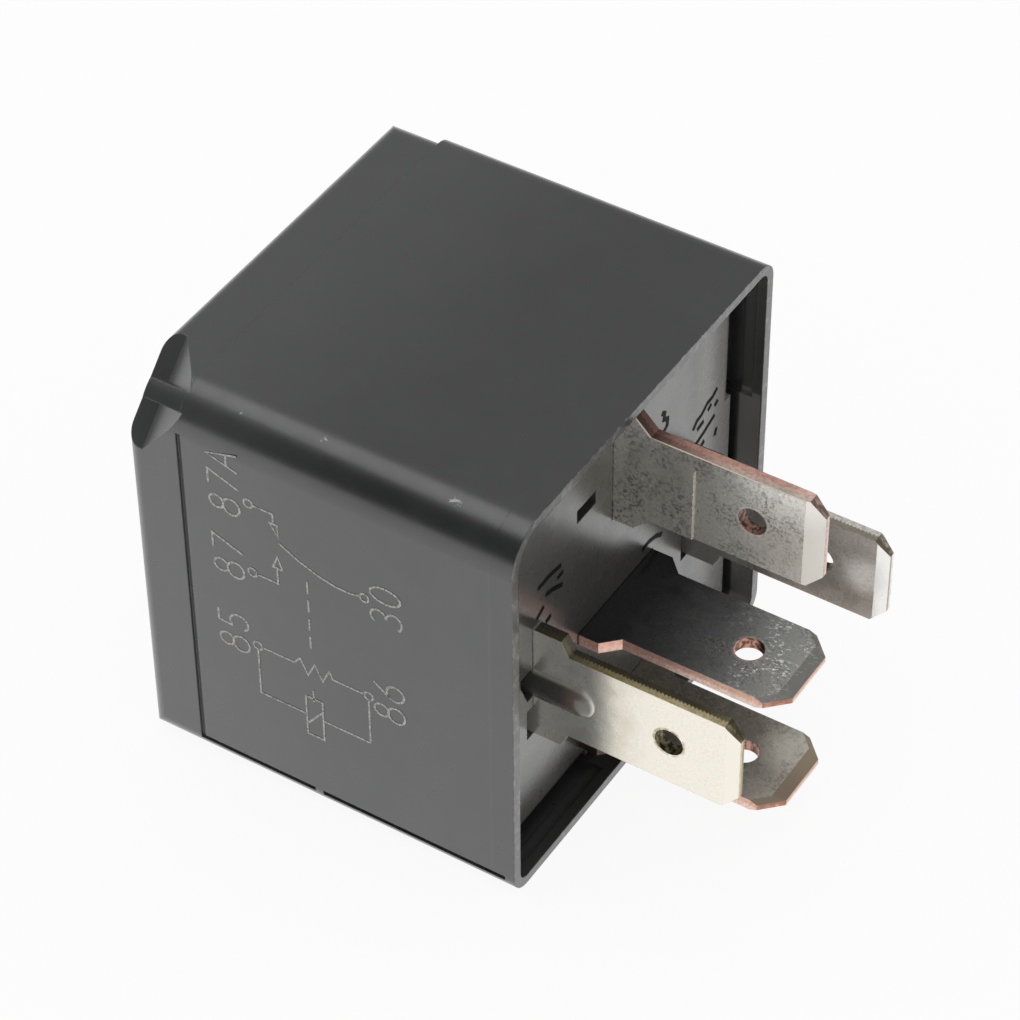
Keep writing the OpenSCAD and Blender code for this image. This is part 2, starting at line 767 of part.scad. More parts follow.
module yoke() {
    foot_low = core_z - core_r - past;
    leg_l = yoke_x - pole_face;
    color("#b9b9bb") translate([rim_x, 0, 0]) difference() {
        translate([yoke_x, 0, yoke_top]) mirror([1, 0, 0]) mirror([0, 0, 1])
            along_y(yoke_w) bent_profile(leg_l, yoke_top - foot_low, yoke_t, yoke_bend_r);
        translate([0, 0, core_z]) rod_x(yoke_back - past, yoke_x + past, tenon_r + slot_gap);
        translate([0, rivet_y, z_30])
            rod_x(yoke_back - past, yoke_x + past, shank_r + slot_gap);
        for (s = [-1, 1])
            translate([yoke_rivet_x, s * rivet_y, yoke_top - yoke_t - past])
                cylinder(h = yoke_t + 2 * past, r = shank_r + slot_gap);
    }
}

module core() {
    color("#c4c4c6") translate([rim_x, 0, core_z]) {
        rod_x(pole_face, pole_back, pole_r);
        rod_x(pole_back, yoke_back - touch_gap / 2, core_r);
        rod_x(yoke_back - touch_gap, yoke_x + upset_h, tenon_r);
    }
}

// Bobbin: tube, two flanges, and ears that grip the coil terminals
module bobbin() {
    ear_out = y_coil + blade_t / 2 + ear_w;
    ear_h = neck_w / 2 + ear_w / 2;
    flange_front = bobbin_front - flange_t;
    color("#d9d3c4") translate([rim_x, 0, 0]) difference() {
        union() {
            translate([0, 0, core_z]) rod_x(bobbin_end, bobbin_front, tube_r);
            for (x = [bobbin_end, flange_front])
                along_x(x, x + flange_t)
                    section(-flange_half, flange_half, core_z - flange_half, flange_top,
                        flange_r, flange_r);
            along_x(flange_front, bobbin_front)
                section(-ear_out, ear_out, z_coil - ear_h, z_coil + ear_h, ear_w / 2, ear_w / 2);
        }
        translate([0, 0, core_z])
            rod_x(bobbin_end - past, bobbin_front + past, core_r + touch_gap);
        for (s = [-1, 1])
            translate([flange_front - past, s * y_coil - blade_t / 2 - bead_h - slot_gap,
                z_coil - neck_w / 2 - slot_gap])
                cube([flange_t + 2 * past, blade_t + bead_h + 2 * slot_gap,
                    neck_w + 2 * slot_gap]);
    }
}

module coil_winding() {
    color("#b5622d") translate([rim_x, 0, core_z]) difference() {
        rod_x(bobbin_end + flange_t + touch_gap, bobbin_front - flange_t - touch_gap, wind_r);
        rod_x(bobbin_end, bobbin_front, tube_r + touch_gap);
    }
}

// Wire end on side s: a straight run from the winding and three turns round the post
module coil_end(s) {
    pitch = 3 * wire_r;
    x0 = leg_back - post_l + wire_r;
    off_axis = core_z - z_coil - wire_r;
    y_in = sqrt(wind_r * wind_r - off_axis * off_axis) + touch_gap;
    y_post = y_coil - blade_t / 2 - touch_gap - 2 * wire_r;
    post_half = post_w / 2 + touch_gap;
    wrap_y = blade_t / 2 + touch_gap;
    color("#c0703a") translate([rim_x, 0, z_coil]) {
        translate([x0 + wire_r, 0, 0]) mirror([0, s < 0 ? 1 : 0, 0])
            rod_y(y_in, y_post + wire_r, wire_r);
        for (i = [0 : 2])
            translate([x0 + i * pitch, s * y_coil, 0]) rotate([90, 0, 90])
                linear_extrude(2 * wire_r) difference() {
                    square([2 * wrap_y + 4 * wire_r, 2 * post_half + 4 * wire_r],
                        center = true);
                    square([2 * wrap_y, 2 * post_half], center = true);
                }
        // bar that joins the turns, standing for the wire's pitch
        translate([x0, s * y_coil - wire_r, post_half])
            cube([2 * pitch + 2 * wire_r, 2 * wire_r, 2 * wire_r]);
    }
}

module coil_end_85() {
    coil_end(-1);
}

module coil_end_86() {
    coil_end(1);
}

// ---------- resistor ----------

// Body with two slightly thicker ends, and bores for its leads
module resistor() {
    color("#4f7fa8") translate([rim_x + lead_x, 0, resistor_z]) difference() {
        union() {
            rod_y(-resistor_l / 2, resistor_l / 2, resistor_r - waist_d);
            for (m = [0, 1])
                mirror([0, m, 0]) rod_y(resistor_l / 2 - cap_end_l, resistor_l / 2, resistor_r);
        }
        for (m = [0, 1])
            mirror([0, m, 0]) rod_y(resistor_l / 2 - lead_in, resistor_l, lead_r);
    }
}

module resistor_lead(s) {
    y_end = y_coil + blade_t / 2 + lead_tail;
    color("#c9c9c9") translate([rim_x + lead_x, 0, resistor_z])
        mirror([0, s < 0 ? 1 : 0, 0]) rod_y(resistor_l / 2 - lead_in, y_end, lead_r);
}

module resistor_lead_85() {
    resistor_lead(-1);
}

module resistor_lead_86() {
    resistor_lead(1);
}

// ---------- rivets ----------

// Rivet along +Z: the head sits on z = 0 and the shank reaches down by grip
module rivet(grip) {
    translate([0, 0, -grip]) cylinder(h = grip + rivet_h / 2, r = shank_r);
    cylinder(h = rivet_h, r = rivet_r);
}

module root_rivet() {
    color("#9c9a94") translate([rim_x + yoke_x + touch_gap + stock_t, rivet_y, z_30])
        rotate([0, 90, 0]) rivet(stock_t + yoke_t);
}

module yoke_rivet(s) {
    color("#9c9a94") translate([rim_x + yoke_rivet_x, s * rivet_y, yoke_top + spring_t])
        rivet(spring_t + yoke_t);
}

module yoke_rivet_near() {
    yoke_rivet(-1);
}

module yoke_rivet_far() {
    yoke_rivet(1);
}

// ---------- armature group ----------

// The armature group at rest: leaned away from the pole about the hinge line
module at_rest() {
    translate([rim_x + armature_face, 0, hinge_z]) rotate([0, rest_tilt, 0])
        translate([-armature_face, 0, -hinge_z]) children();
}

// Holes for the two rivets of the armature
module armature_rivet_holes() {
    for (s = [-1, 1])
        translate([0, s * rivet_y, armature_rivet_z])
            rod_x(spring_back - past, armature_face + past, shank_r + slot_gap);
}

module armature() {
    shoulder_z = core_z + pole_r;
    color("#b4b4b6") at_rest() difference() {
        along_x(spring_front, armature_face) polygon([
            [-armature_w / 2, hinge_z], [-armature_w / 2, shoulder_z],
            [-armature_tip_w / 2, armature_low + tip_h], [-armature_tip_w / 2, armature_low],
            [armature_tip_w / 2, armature_low], [armature_tip_w / 2, armature_low + tip_h],
            [armature_w / 2, shoulder_z], [armature_w / 2, hinge_z]
        ]);
        along_y(2 * armature_w) polygon([
            [spring_front, blade_top], [spring_front + armature_cut, hinge_z],
            [spring_front + armature_cut, hinge_z + past],
            [spring_front - past, hinge_z + past], [spring_front - past, blade_top]
        ]);
        armature_rivet_holes();
    }
}

// Side view of the leaf spring: a flat run on the yoke, a bend round the hinge and a blade
module spring_profile(low) {
    far = 4 * spring_r;
    translate([bend_x, yoke_top]) square([spring_run, spring_t]);
    translate([bend_x, bend_z]) intersection() {
        difference() {
            circle(spring_r + spring_t);
            circle(spring_r);
        }
        polygon([
            [0, 0], [0, far], [-far, far],
            [-far * cos(rest_tilt), far * sin(rest_tilt)]
        ]);
    }
    translate([armature_face, hinge_z]) rotate(-rest_tilt)
        translate([spring_back - armature_face, low - hinge_z])
            square([spring_t, blade_top - low]);
}

// Leaf spring with a tapered end that carries the moving contact
module contact_spring() {
    low = contact_z - contact_r - head_margin;
    taper_top = armature_low + taper_h;
    taper_low = armature_low;
    color("#c98f5a") difference() {
        translate([rim_x, 0, 0]) intersection() {
            along_y(spring_w) spring_profile(low);
            along_x(-body_l, 0) polygon([
                [-spring_w / 2, body_h], [-spring_w / 2, taper_top],
                [-spring_tip_w / 2, taper_low], [-spring_tip_w / 2, 0],
                [spring_tip_w / 2, 0], [spring_tip_w / 2, taper_low],
                [spring_w / 2, taper_top], [spring_w / 2, body_h]
            ]);
        }
        for (s = [-1, 1])
            translate([rim_x + yoke_rivet_x, s * rivet_y, yoke_top - past])
                cylinder(h = spring_t + 2 * past, r = shank_r + slot_gap);
        at_rest() {
            armature_rivet_holes();
            translate([0, 0, contact_z])
                rod_x(spring_back - past, spring_front + past, shank_r);
        }
    }
}

module armature_rivet(s) {
    color("#9c9a94") at_rest() translate([spring_back, s * rivet_y, armature_rivet_z])
        rotate([0, -90, 0]) rivet(spring_t + armature_t - touch_gap);
}

module armature_rivet_near() {
    armature_rivet(-1);
}

module armature_rivet_far() {
    armature_rivet(1);
}

// Contact head with a domed face: it stands on z = 0 and points along +Z
module contact_head() {
    intersection() {
        cylinder(h = contact_h, r = contact_r);
        translate([0, 0, contact_h - dome_r]) sphere(dome_r);
    }
}

module moving_contact() {
    color("#d8d8da") at_rest() translate([0, 0, contact_z]) {
        translate([spring_back, 0, 0]) rotate([0, -90, 0]) contact_head();
        translate([spring_front, 0, 0]) rotate([0, 90, 0]) contact_head();
        rod_x(spring_back - contact_h / 2, spring_front + contact_h / 2, shank_r);
    }
}

// Fixed contact: a flat head, a shank through its carrier and an upset end behind it
module fixed_contact() {
    cylinder(h = contact_h, r = contact_r);
    translate([0, 0, -strip_t - upset_h])
        cylinder(h = strip_t + upset_h + contact_h / 2, r = shank_r);
    translate([0, 0, -strip_t - upset_h]) cylinder(h = upset_h, r = shank_r + upset_h);
}

module contact_no() {
    color("#d8d8da") translate([rim_x + no_back - strip_t, 0, contact_z])
        rotate([0, -90, 0]) fixed_contact();
}

module contact_nc() {
    color("#d8d8da") translate([rim_x + nc_back + strip_t, 0, contact_z])
        rotate([0, 90, 0]) fixed_contact();
}

cover();
base();
terminal_30();
terminal_85();
terminal_86();
terminal_87();
terminal_87a();
yoke();
core();
bobbin();
coil_winding();
coil_end_85();
coil_end_86();
resistor();
resistor_lead_85();
resistor_lead_86();
root_rivet();
yoke_rivet_near();
yoke_rivet_far();
contact_spring();
armature();
armature_rivet_near();
armature_rivet_far();
moving_contact();
contact_no();
contact_nc();
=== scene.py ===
"""Looks, light and camera for the relay. Lengths named in mm are turned into metres by MM."""

import math

import bpy
from mathutils import Matrix, Vector


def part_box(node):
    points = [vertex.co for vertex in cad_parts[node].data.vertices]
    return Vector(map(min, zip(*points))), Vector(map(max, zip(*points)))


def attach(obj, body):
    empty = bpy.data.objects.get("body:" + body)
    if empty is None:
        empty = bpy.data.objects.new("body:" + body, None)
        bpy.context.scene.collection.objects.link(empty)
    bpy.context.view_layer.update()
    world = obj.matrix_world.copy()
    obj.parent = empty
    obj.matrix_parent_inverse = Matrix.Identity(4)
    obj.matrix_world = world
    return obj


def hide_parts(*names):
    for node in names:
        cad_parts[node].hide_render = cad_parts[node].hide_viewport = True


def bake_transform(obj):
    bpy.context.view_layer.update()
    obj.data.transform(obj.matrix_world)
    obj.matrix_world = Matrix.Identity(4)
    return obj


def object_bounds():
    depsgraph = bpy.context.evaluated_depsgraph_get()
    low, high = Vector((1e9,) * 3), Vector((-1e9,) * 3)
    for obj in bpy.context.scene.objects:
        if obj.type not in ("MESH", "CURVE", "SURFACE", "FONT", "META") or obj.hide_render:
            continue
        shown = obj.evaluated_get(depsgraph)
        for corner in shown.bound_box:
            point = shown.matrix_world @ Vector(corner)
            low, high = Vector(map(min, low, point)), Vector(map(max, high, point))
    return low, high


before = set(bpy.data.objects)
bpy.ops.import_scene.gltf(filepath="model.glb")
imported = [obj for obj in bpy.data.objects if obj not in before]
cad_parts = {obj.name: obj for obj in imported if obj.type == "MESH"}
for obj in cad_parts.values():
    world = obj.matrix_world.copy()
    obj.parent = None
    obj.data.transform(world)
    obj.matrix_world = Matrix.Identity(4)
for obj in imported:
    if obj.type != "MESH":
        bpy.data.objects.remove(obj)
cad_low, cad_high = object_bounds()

MM = 0.001

# ---------- places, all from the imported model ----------

cover_low, cover_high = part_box("cover")
base_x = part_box("base")[1].x
coil_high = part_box("terminal_85")[1]
far_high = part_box("terminal_86")[1]
common_low, common_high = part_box("terminal_30")
rest_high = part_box("terminal_87a")[1]
work_low, work_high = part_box("terminal_87")

# The same in mm, for the materials: rim, closed end, base, near and far side, top
RIM, END, BASE = cover_high.x / MM, cover_low.x / MM, base_x / MM
NEAR, FAR, TOP = cover_low.y / MM, cover_high.y / MM, cover_high.z / MM


def srgb(value):
    """Linear value of an sRGB grey from 0 to 255."""
    c = value / 255
    return c / 12.92 if c <= 0.04045 else ((c + 0.055) / 1.055) ** 2.4


def colour(r, g, b):
    """A colour from sRGB values of 0 to 255."""
    return (srgb(r), srgb(g), srgb(b), 1)


def tones(*colours):
    """Several colours at once."""
    return tuple(colour(*rgb) for rgb in colours)


# ---------- node materials ----------


def put(tree, socket, value):
    """Links a node's output to a socket, or sets the socket to a plain value."""
    if isinstance(value, bpy.types.NodeSocket):
        tree.links.new(value, socket)
    else:
        socket.default_value = value


class Finish:
    """A Principled material with short calls for the nodes that it is made of."""

    def __init__(self, name, **fixed):
        self.material = bpy.data.materials.new(name)
        self.material.use_nodes = True
        self.nodes = self.material.node_tree.nodes
        self.shader = self.nodes["Principled BSDF"]
        for key, value in fixed.items():
            self.shader.inputs[key.replace("_", " ")].default_value = value
        coord = self.nodes.new("ShaderNodeTexCoord")
        self.side = coord.outputs["Normal"]
        self.place = self.vector("SCALE", coord.outputs["Object"], scale=1 / MM)
        self.parts = None

    def put(self, socket, value):
        put(self.material.node_tree, socket, value)

    def vector(self, operation, a, b=None, scale=None):
        node = self.nodes.new("ShaderNodeVectorMath")
        node.operation = operation
        self.put(node.inputs[0], a)
        if b is not None:
            self.put(node.inputs[1], b)
        if scale is not None:
            self.put(node.inputs["Scale"], scale)
        return node.outputs["Value" if operation in ("DOT_PRODUCT", "LENGTH") else "Vector"]

    def math(self, operation, a, b=0.0, clamp=False):
        node = self.nodes.new("ShaderNodeMath")
        node.operation = operation
        node.use_clamp = clamp
        self.put(node.inputs[0], a)
        self.put(node.inputs[1], b)
        return node.outputs[0]

    def axis(self, name):
        """One coordinate of the place, in mm."""
        if self.parts is None:
            node = self.nodes.new("ShaderNodeSeparateXYZ")
            self.put(node.inputs[0], self.place)
            self.parts = {"x": node.outputs[0], "y": node.outputs[1], "z": node.outputs[2]}
        return self.parts[name]

    def noise(self, size, detail=2.0, rough=0.5, stretch=(1, 1, 1)):
        """Noise whose blotches are about size mm across, longer by stretch along each axis."""
        node = self.nodes.new("ShaderNodeTexNoise")
        self.put(node.inputs["Vector"], self.vector("DIVIDE", self.place, stretch))
        node.inputs["Scale"].default_value = 1 / size
        node.inputs["Detail"].default_value = detail
        node.inputs["Roughness"].default_value = rough
        return node.outputs["Fac"]

    def cells(self, size):
        """Distance from scattered points about size mm apart."""
        node = self.nodes.new("ShaderNodeTexVoronoi")
        self.put(node.inputs["Vector"], self.place)
        node.inputs["Scale"].default_value = 1 / size
        return node.outputs["Distance"]

    def flat_place(self, a, b):
        """Two lengths as one vector."""
        node = self.nodes.new("ShaderNodeCombineXYZ")
        self.put(node.inputs[0], a)
        self.put(node.inputs[1], b)
        return node.outputs[0]

    def fit(self, value, low, high, to_low=0.0, to_high=1.0, smooth=True):
        """The value carried from low and high to to_low and to_high, and held beyond them."""
        node = self.nodes.new("ShaderNodeMapRange")
        node.interpolation_type = "SMOOTHSTEP" if smooth else "LINEAR"
        self.put(node.inputs["Value"], value)
        node.inputs["From Min"].default_value = low
        node.inputs["From Max"].default_value = high
        self.put(node.inputs["To Min"], to_low)
        self.put(node.inputs["To Max"], to_high)
        return node.outputs["Result"]

    def ramp(self, value, low, high, *tones):
        """Tones spread evenly from low to high, in mm."""
        node = self.nodes.new("ShaderNodeValToRGB")
        self.put(node.inputs[0], self.fit(value, low, high, smooth=False))
        stops = node.color_ramp.elements
        while len(stops) < len(tones):
            stops.new(0.5)
        for i, tone in enumerate(tones):
            stops[i].position = i / (len(tones) - 1)
            stops[i].color = tone
        return node.outputs[0]

    def both(self, a, b):
        """Two masks at once, or a mask weakened by a number."""
        return self.math("MULTIPLY", a, b)

    def other(self, a):
        return self.math("SUBTRACT", 1.0, a)

    def near(self, name, centre, half, soft):
        """1 within half of centre along an axis, falling to 0 over soft, all in mm."""
        away = self.math("ABSOLUTE", self.math("SUBTRACT", self.axis(name), centre))
        return self.fit(away, half, half + soft, 1.0, 0.0)

    def mix(self, share, a, b):
        """Tone a, with a share from 0 to 1 of tone b."""
        node = self.nodes.new("ShaderNodeMix")
        node.data_type = "RGBA"
        self.put(node.inputs[0], share)
        self.put(node.inputs[6], a)
        self.put(node.inputs[7], b)
        return node.outputs[2]

    def facing(self, direction, low, high):
        """1 where the surface faces along or against a direction."""
        dot = self.math("ABSOLUTE", self.vector("DOT_PRODUCT", self.side, direction))
        return self.fit(dot, low, high)

    def round_edges(self, radius):
        """The normal of a surface whose edges are rounded by radius mm."""
        node = self.nodes.new("ShaderNodeBevel")
        node.samples = 4
        node.inputs["Radius"].default_value = radius * MM
        return node.outputs["Normal"]

    def edges(self, rounded):
        """1 along the edges that round_edges has rounded."""
        flat = self.nodes.new("ShaderNodeNewGeometry").outputs["Normal"]
        dot = self.vector("DOT_PRODUCT", rounded, flat)
        return self.fit(dot, 0.995, 0.8)

    def bump(self, height, depth, strength=1.0, normal=None):
        """Height from 0 to 1 raised by depth mm."""
        node = self.nodes.new("ShaderNodeBump")
        node.inputs["Distance"].default_value = depth * MM
        node.inputs["Strength"].default_value = strength
        self.put(node.inputs["Height"], height)
        if normal is not None:
            self.put(node.inputs["Normal"], normal)
        return node.outputs["Normal"]

    def finished(self, **shading):
        """The material, with its shader's inputs linked or set."""
        for key, value in shading.items():
            self.put(self.shader.inputs[key.replace("_", " ")], value)
        return self.material


RUBBED, SPECK, NICKED = tones((138, 136, 132), (110, 108, 104), (176, 174, 168))


def moulded(name, dark, light, rough, coat, nicks=(), crease=None, painted_light=()):
    """Black moulded plastic with a fine grain, soft blotches, rubbed edges, and lighter places, some of them
    painted light.

    nicks holds the place, size and stretch of each pale nick, crease gives the height of a faint
    relief, and painted_light holds a mask, its share and its tone for each lighter place: painted light on
    some, a plain lighter tone on others.
    """
    f = Finish(name, Specular_IOR_Level=1.0, Coat_Weight=coat, Coat_Roughness=rough)
    blotch = f.fit(f.noise(4.5, 4, 0.55), 0.3, 0.7)
    tone = f.mix(blotch, dark, light)
    # Painted light and lighter tones laid over the blotches
    for where, share, pale in painted_light:
        tone = f.mix(f.both(where(f), share), tone, pale)
    rounded = f.round_edges(0.1)
    scratch = f.fit(f.noise(0.35, 4, 0.7), 0.46, 0.62)
    tone = f.mix(f.both(f.both(f.edges(rounded), scratch), 0.4), tone, RUBBED)
    dust = f.fit(f.cells(0.9), 0.035, 0.02)
    tone = f.mix(f.both(dust, f.fit(f.noise(2.5, 2), 0.6, 0.72)), tone, SPECK)
    for spot, size, streak in nicks:
        offset = f.vector("DIVIDE", f.vector("SUBTRACT", f.place, spot), streak)
        ragged = f.fit(f.noise(0.18, 3, 0.7), 0.3, 0.7, 0, size)
        mark = f.fit(f.math("ADD", f.vector("LENGTH", offset), ragged), size, size * 1.5, 1.0, 0.0)
        tone = f.mix(f.both(mark, 0.8), tone, NICKED)
    grain = f.bump(f.noise(0.09, 3, 0.6), 0.005, 0.5, rounded)
    wavy = f.bump(f.noise(6.0, 1.5, 0.4), 0.02, 0.4, grain)
    if crease is not None:
        wavy = f.bump(crease(f), 0.02, 1.0, wavy)
    roughness = f.fit(f.noise(1.7, 4, 0.6), 0.3, 0.7, rough - 0.03, rough + 0.03)
    return f.finished(Base_Color=tone, Roughness=roughness, Normal=wavy, Coat_Normal=wavy)


def top_relief(f):
    """The faint step of the rim band and the long sink mark on the top face."""
    step = f.fit(f.axis("x"), RIM - 1.62, RIM - 1.4)
    sink = f.both(f.near("y", -1.2, 0.15, 0.9), f.near("x", -7.4, 5.2, 1.2))
    return f.math("SUBTRACT", f.both(step, 0.5), f.both(sink, 0.35))


def far_wall(f):
    """The cover's inner wall on the far side, below its pocket and clear of the base. Its lighter tone is
    painted light, so that the base mirrors a bright wall.
    """
    x, y, z = f.axis("x"), f.axis("y"), f.axis("z")
    clear = f.both(f.fit(x, BASE + 0.25, BASE + 0.45), f.fit(x, RIM - 0.05, RIM - 0.12))
    below = f.fit(z, TOP - 10.1, TOP - 10.25)
    inside = f.both(f.fit(y, FAR - 1.6, FAR - 1.5), f.fit(y, FAR - 0.25, FAR - 0.4))
    return f.both(f.both(inside, clear), below)


def closed_end(f):
    """The cover's outside towards its closed end."""
    return f.fit(f.axis("x"), -1.0, END + 1.5)


def rim_highlight(f):
    """A broken painted highlight on the rim's end face."""
    broken = f.fit(f.noise(0.7, 4, 0.7), 0.5, 0.62)
    return f.both(f.fit(f.axis("x"), RIM - 0.06, RIM - 0.03), broken)


def far_side(f):
    """The strip of the base along the cover's far wall, lightened as painted light."""
    return f.fit(f.axis("y"), FAR - 5.8, FAR - 3.2)


def near_side(f):
    """The lower part of the base beside the near coil terminal."""
    return f.both(f.fit(f.axis("y"), NEAR + 9.5, NEAR + 6.5), f.fit(f.axis("z"), 17, 13.5))


# A blade in mm: its thickness, height at the root, and its hole's radius and distance from the rim
BLADE_T, ROOT_W = 0.8, 8.3
HOLE_R, HOLE_X = 0.9, 7.0
# Hatching of the cut edges: its pitch in mm, and its depth as a share of half the thickness
TEETH_PITCH, TEETH_DEPTH = 0.24, 0.14
# Tones of the pressed bead from the base outwards, near black by the base as painted shade
PAINTED_BEAD_SHADE = tones((18, 16, 15), (28, 24, 22), (92, 72, 60), (104, 103, 100), (104, 103, 100))
# Tone of the painted glints and highlights, and of the shear lip
PAINTED_GLINT, SHEAR_LIP = tones((255, 254, 250), (232, 226, 208))


def plated(
    name, sheet, middle, tip, hole, bevel, face, edge, wall, lip, fleck, metallic,
    glints=0.0, painted_sheen=None, root_matte=0.0, bead=0.0,
):
    """Blade of plated sheet, with its places in mm.

    sheet: the axis across the blade's thickness, whose middle lies at middle
    tip: the blade's length past the rim
    hole: the detent hole's place on the remaining axis
    bevel: length, tone and matteness of the lead-in at the tip; where its tone differs from the face's, it
    is a painted reflection
    face: tones of the plated faces from the rim to the tip, darker by the rim as painted shade
    edge: near tones, far tones and stain of the cut edges
    wall, lip: tones inside the hole, and tone round it
    fleck: tone and amount of the grain
    metallic: how metallic the plating is where it isn't matte
    glints: amount of painted glints, bright specks towards the tip
    painted_sheen: place along and across, size, tone and matteness of a soft bright patch, a painted sheen
    root_matte: matteness by the base
    bead: share of painted shade on the pressed bead
    """
    f = Finish(name)
    flat_way = (0, 1, 0) if sheet == "y" else (0, 0, 1)
    flat = f.facing(flat_way, 0.5, 0.8)
    by_tip = f.fit(f.axis("x"), RIM + tip - 2.2, RIM + tip - 2)
    slope = f.both(f.other(f.facing(flat_way, 0.989, 0.995)), by_tip)
    along = f.math("SUBTRACT", f.axis("x"), RIM)
    side = -1 if sheet == "y" else 1
    across = f.both(f.math("SUBTRACT", f.axis(sheet), middle), -2 * side / BLADE_T)
    width = f.axis("z" if sheet == "y" else "y")
    rounded = f.round_edges(0.05)
    bevel_l, bevel_tone, bevel_matte = bevel

    # plated faces: tone along the blade, darker by the rim as painted shade, with soft clouds and grain
    cloud = f.fit(f.noise(1.1, 3, 0.5), 0.25, 0.75, smooth=False)
    grains = f.noise(0.13, 3, 0.7)
    drift = f.math("ADD", along, f.fit(cloud, 0, 1, -0.8, 0.8, smooth=False))
    tone = f.ramp(drift, 0, tip - bevel_l, *face)
    matte = f.math("MAXIMUM", f.both(slope, bevel_matte), f.fit(along, 3.0, 1.0, 0.0, root_matte))
    # A soft painted sheen on the face
    if painted_sheen is not None:
        sheen_x, sheen_width, size, sheen_tone, sheen_matte = painted_sheen
        aside = f.math("SUBTRACT", width, sheen_width)
        spot = f.flat_place(f.math("SUBTRACT", along, sheen_x), aside)
        sheen_mask = f.fit(f.vector("LENGTH", spot), size, 0.2 * size)
        tone = f.mix(sheen_mask, tone, sheen_tone)
        matte = f.math("MAXIMUM", matte, f.both(sheen_mask, sheen_matte))
    fleck_tone, amount = fleck
    specks = f.both(f.fit(f.noise(0.2, 3, 0.65), 0.46, 0.6), f.fit(cloud, 0.3, 0.8, 0.3, 1.0))
    tone = f.mix(f.both(specks, amount), tone, fleck_tone)
    # Painted shade on the pressed bead, darkest by the base
    raised = f.both(f.fit(across, -1.1, -1.5), bead)
    tone = f.mix(raised, tone, f.ramp(along, -0.6, 2.4, *PAINTED_BEAD_SHADE))
    matte = f.math("MAXIMUM", matte, raised)
    # Painted glints: bright specks on the faces towards the tip
    if glints:
        patches = f.both(f.fit(f.noise(1.3, 2, 0.5), 0.42, 0.6), f.fit(along, 3.5, 9.5))
        bright = f.fit(f.noise(0.2, 3, 0.7, (1.6, 1, 1)), 0.55, 0.6)
        glint_mask = f.both(f.both(bright, patches), glints)
        tone = f.mix(glint_mask, tone, PAINTED_GLINT)
        matte = f.math("MAXIMUM", matte, f.both(glint_mask, 0.6))
    # The lead-in's tone; where it differs from the face's, it is a painted reflection
    tone = f.mix(slope, tone, bevel_tone)

    # cut edges: two tones that meet in a finely hatched line
    near_tones, far_tones, stain = edge
    teeth = f.math("FRACT", f.math("DIVIDE", along, TEETH_PITCH))
    ragged = f.math("ADD", across, f.fit(teeth, 0, 1, -TEETH_DEPTH, TEETH_DEPTH))
    near_cut, far_cut = f.ramp(along, 0, tip, *near_tones), f.ramp(along, 0, tip, *far_tones)
    cut = f.mix(f.fit(ragged, -0.1, 0.14), near_cut, far_cut)
    cut = f.mix(f.both(f.fit(f.noise(0.22, 4, 0.7), 0.44, 0.6), 0.3), cut, stain)
    slant = f.math("ABSOLUTE", f.vector("DOT_PRODUCT", f.side, (1, 0, 0)))
    cut_off = f.both(f.fit(slant, 0.5, 0.6), f.fit(slant, 0.9, 0.8))
    corner = f.both(cut_off, f.fit(along, tip - 2, tip - 1.6))
    cut = f.mix(f.both(corner, f.fit(f.noise(0.4, 3, 0.6), 0.3, 0.6, 0.45, 0.85)), cut, stain)
    cut = f.mix(f.fit(across, -1.02, -1.1), cut, SHEAR_LIP)

    # detent hole: its wall and the lip that the punch left
    reach = f.flat_place(f.math("SUBTRACT", along, HOLE_X), f.math("SUBTRACT", width, hole))
    away = f.vector("LENGTH", reach)
    in_hole = f.fit(away, HOLE_R + 0.06, HOLE_R + 0.03)
    bore = f.mix(f.fit(f.noise(0.3, 3, 0.6), 0.42, 0.58), *wall)
    cut = f.mix(in_hole, cut, bore)
    punched = f.fit(f.noise(0.5, 3, 0.6), 0.4, 0.55)
    rough_ring = f.both(f.fit(away, HOLE_R + 0.2, HOLE_R + 0.1), punched)
    tone = f.mix(f.both(rough_ring, 0.85), tone, lip)

    bare = f.both(f.other(flat), f.fit(along, -1.9, -1.7))
    uneven = f.math("SUBTRACT", f.fit(cloud, 0, 1, 0.3, 0.24), f.both(slope, 0.08))
    return f.finished(
        Base_Color=f.mix(bare, tone, cut),
        Metallic=f.fit(matte, 0, 1, metallic, 0.15, smooth=False),
        Roughness=f.math("ADD", uneven, f.both(bare, 0.12), True),
        Normal=f.bump(grains, 0.007, 0.5, rounded),
    )


def metal(name, bright, dull, rough, size=0.6, stretch=(1, 1, 1)):
    """Plain metal with cloudy tone, fine drawing lines and softened edges."""
    f = Finish(name, Metallic=1.0)
    cloud = f.fit(f.noise(size, 4, 0.6), 0.35, 0.65)
    lines = f.noise(0.08, 3, 0.6, stretch)
    return f.finished(
        Base_Color=f.mix(cloud, dull, bright),
        Roughness=f.fit(cloud, 0, 1, rough + 0.12, rough),
        Normal=f.bump(lines, 0.004, 0.6, f.round_edges(0.05)),
    )


# Diameter of the coil's wire, in mm
WIRE = 0.12


def winding(name):
    """Enamelled wire wound in close turns along the coil."""
    f = Finish(name, Metallic=0.75, Coat_Weight=0.5, Coat_Roughness=0.12)
    turns = f.math("FRACT", f.math("DIVIDE", f.axis("x"), WIRE))
    hump = f.math("SINE", f.math("MULTIPLY", turns, math.pi))
    slip = f.fit(f.noise(0.8, 3, 0.6, (0.3, 2, 2)), 0.35, 0.65)
    return f.finished(
        Base_Color=f.mix(slip, colour(150, 62, 24), colour(196, 98, 44)),
        Roughness=f.fit(slip, 0, 1, 0.34, 0.26),
        Normal=f.bump(hump, WIRE * 0.4, 0.8),
    )


